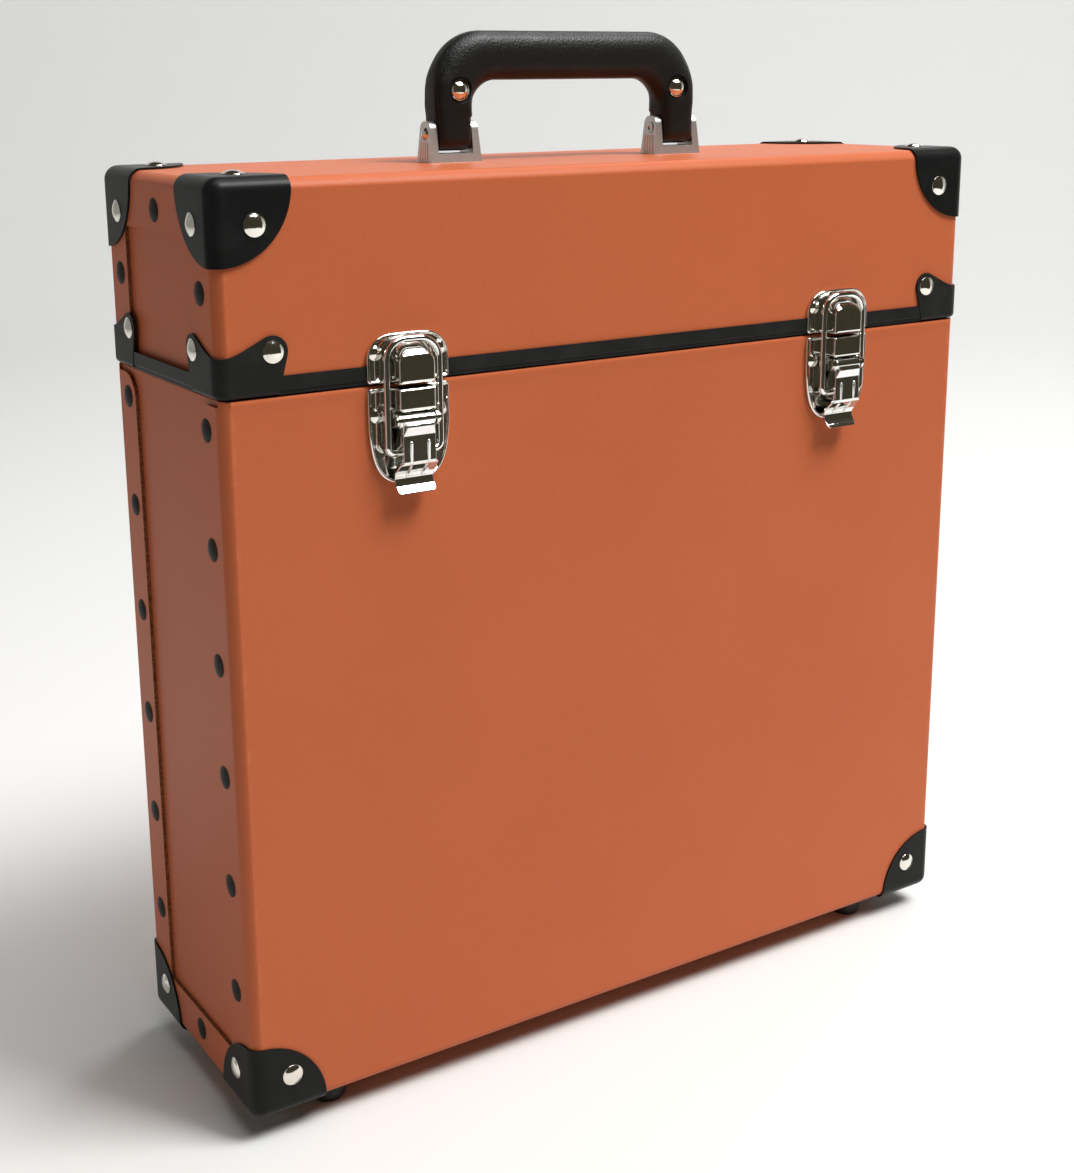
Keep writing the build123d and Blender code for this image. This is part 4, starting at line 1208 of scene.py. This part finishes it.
def gripModel():
    half = legStations()
    stations = half + [((-outer[0], outer[1]), (-inner[0], inner[1])) for outer, inner in reversed(half[:-1])]
    rings = [gripRing(Vector(outer), Vector(inner)) for outer, inner in stations]
    rings = footRings(rings[0]) + rings[1:-1] + footRings(rings[-1])[::-1]
    grip = loft("grip", rings)
    for seat, outward in gripSeats():
        carve(grip, rod("seat", handle["seatRadius"], seat, seat + outward * (12 - handle["seatDepth"]), 48))
    return softenEdges(grip, 0.35, 3, 42)


def placeHandle():
    finishPiece(gripModel(), "handle", "handle_skin", handleSkin, "handle_grip", soft=True)
    head = domedHead("head", handle["rivetRadius"], handle["rivetHeight"], handle["rivetBrim"], 36)
    heads = joined("handleRivetHeads", seated(head, gripSeats()))
    finishPiece(heads, "handle", "nickel_rivet", nickelBright, "handle_rivets")
    discard(head)


placeHandle()


def bracketModel():
    # a cast saddle with a slot for the handle's foot
    low, slot = bracket["width"] / 2, bracket["slot"] / 2
    high, top, floor = low - bracket["lean"], bracket["height"], bracket["floor"]
    half, topHalf = bracket["depth"] / 2, bracket["topDepth"] / 2

    def at(x, y, rise):
        return (x, middle + y, lidTop + rise)

    section = [(-low, 0), (low, 0), (high, top), (slot, top),
               (slot, floor), (-slot, floor), (-slot, top), (-high, top)]
    body = flatShape("bracket", [at(x, -half - 1, rise) for x, rise in section])
    thicken(body, (0, 2 * half + 2, 0))
    profile = loopEased([(-half, -1), (half, -1), (half, 0), (topHalf, top), (-topHalf, top), (-half, 0)],
                        [0, 0, 0, 3.5, 3.5, 0], 10)
    envelope = flatShape("envelope", [at(-low - 1, y, rise) for y, rise in profile])
    thicken(envelope, (2 * low + 2, 0, 0))
    carve(body, envelope, "INTERSECT")
    for side in (-1, 1):
        # flutes below the pin's head on the outer faces
        x = side * (low + 0.15)
        for y in bracket["flutePlaces"]:
            carve(body, rod("flute", bracket["flute"], at(x, y, -0.5), at(x - side * 0.3, y * 0.86, 8.0), 16))
        start, end = (at(side * (low - 0.7 + reach), 0, bracket["pinRise"]) for reach in (-0.15, 3))
        carve(body, rod("recess", bracket["recess"], start, end, 32))
    return softenEdges(body, bracket["ease"], 3, 38)


def placeBrackets():
    model = bracketModel()
    for side, place in (("left", -bracket["across"]), ("right", bracket["across"])):
        piece = copied(model, "bracket_" + side, moved(place, 0, 0))
        finishPiece(piece, "lid", "nickel_plate", castNickel, "handle_bracket_" + side)
    discard(model)


placeBrackets()
print("handle made")


# metres and degrees; as painted shade, the wall's colour darkens from one distance to the left to another
stage = {
    "floor": (0.73, 0.73, 0.722), "roughness": 0.75,
    "apron": 1.0, "flat": 1.9, "sweep": 1.3, "wall": 1.6, "wallFrom": -25, "wallTo": 205,
    "dimTo": -1.6, "dimFrom": -0.5, "dim": 0.6,
}


def polarSheet(name, stations, start, end, steps=96):
    # a sheet swept about the upright axis through (radius, height) stations
    deselectAll()
    bpy.ops.mesh.primitive_grid_add(x_subdivisions=steps, y_subdivisions=len(stations) - 1, size=1)
    piece = added(name)
    for index, vertex in enumerate(piece.data.vertices):
        row, column = divmod(index, steps + 1)
        radius, height = stations[row]
        angle = radians(start + (end - start) * column / steps)
        vertex.co = (radius * cos(angle), radius * sin(angle), height)
    choose(piece, "VERT", everything)
    bpy.ops.mesh.remove_doubles(threshold=0.1 * mm)
    doneOutwards()
    return smooth(piece, 40)


def buildStage():
    # a round table top, and behind it a floor that sweeps up into a wall
    apron, flat, sweep = stage["apron"], stage["flat"], stage["sweep"]
    table = polarSheet("floor", [(0, 0), (apron, 0)], 0, 360)
    stations = [(apron, 0), (flat, 0)]
    for step in range(1, 17):
        angle = radians(90 * step / 16)
        stations.append((flat + sweep * sin(angle), sweep * (1 - cos(angle))))
    stations.append((flat + sweep, sweep + stage["wall"]))
    wall = polarSheet("backdrop", stations, stage["wallFrom"], stage["wallTo"])
    made = Finish("floorPaper")
    point = made.place(1.0)
    tone = made.blend(made.noise(point, 0.9, 2.0), stage["floor"], [value * 0.98 for value in stage["floor"]])
    # painted shade: the paper is coloured darker out of view on the left, where the side of the case mirrors
    # it
    lit = made.axes(point)[0].ramp(stage["dimTo"], stage["dimFrom"])
    tone = made.blend(lit, [value * stage["dim"] for value in stage["floor"]], tone)
    paper = made.finish(Base_Color=tone, Roughness=stage["roughness"])
    for piece in (table, wall):
        piece.data.materials.append(paper)


buildStage()


warm, cool = (1.0, 0.99, 0.975), (0.98, 0.99, 1.0)
lamps = {
    "key": {"place": (0.92, -1.07, 2.4), "aim": (0, 0, 0.2), "size": 1.0, "power": 74, "color": warm},
    "overhead": {"place": (0.3, -0.6, 2.4), "aim": (0, 0, 0.2), "size": 1.9, "power": 36, "color": cool},
    "backdrop": {"place": (1.7, 1.0, 2.6), "aim": (1.1, 2.6, 0.6), "size": 1.0, "power": 26, "color": cool},
}


def addLamp(name, values):
    light = bpy.data.lights.new(name, "AREA")
    light.shape = "SQUARE"
    light.size = values["size"]
    light.energy = values["power"]
    light.color = values["color"]
    lamp = bpy.data.objects.new(name, light)
    lamp.location = values["place"]
    lamp.rotation_euler = (Vector(values["aim"]) - lamp.location).to_track_quat("-Z", "Y").to_euler()
    bpy.context.scene.collection.objects.link(lamp)


for lampName, lampValues in lamps.items():
    addLamp(lampName, lampValues)


studio = {"room": (0.050, 0.043, 0.028), "seen": (0.85, 0.85, 0.84), "strength": 1.0}


def lightStudio():
    # a dim warm room, which metal mirrors; looked at directly, it is as pale as the floor
    sky = bpy.data.worlds.new("studio")
    bpy.context.scene.world = sky
    made = Finish("studio", sky)
    seen = made.node("ShaderNodeLightPath", output="Is Camera Ray")
    made.finish(Color=made.blend(seen, studio["room"], studio["seen"]), Strength=studio["strength"])


lightStudio()


# the camera stands in front of the left half of the case, turned to the right and tilted down, in degrees;
# its focus, width, height and centre are in pixels of the render
view = {
    "place": (-392.63, -533.46, 387.62),
    "turn": 32.506, "tilt": 13.542, "roll": -0.4545,
    "focus": 1681.77, "width": 1074, "height": 1173, "centre": (527.52, 478.68),
}


def addCamera():
    lens = bpy.data.cameras.new("camera")
    lens.sensor_width = 36
    longest = max(view["width"], view["height"])
    lens.lens = view["focus"] * lens.sensor_width / longest
    lens.shift_x = (view["width"] / 2 - view["centre"][0]) / longest
    lens.shift_y = (view["centre"][1] - view["height"] / 2) / longest
    lens.clip_start = 0.01
    camera = bpy.data.objects.new("camera", lens)
    x, y, z = view["place"]
    spot = Matrix.Translation((x * mm, (y + front) * mm, (z + bottom) * mm))
    turn = Matrix.Rotation(radians(-view["turn"]), 4, "Z")
    tilt = Matrix.Rotation(radians(90 - view["tilt"]), 4, "X")
    roll = Matrix.Rotation(radians(view["roll"]), 4, "Z")
    camera.matrix_world = spot @ turn @ tilt @ roll
    bpy.context.scene.collection.objects.link(camera)
    bpy.context.scene.camera = camera


addCamera()
bpy.context.scene.view_settings.view_transform = "Standard"
print("stage set")
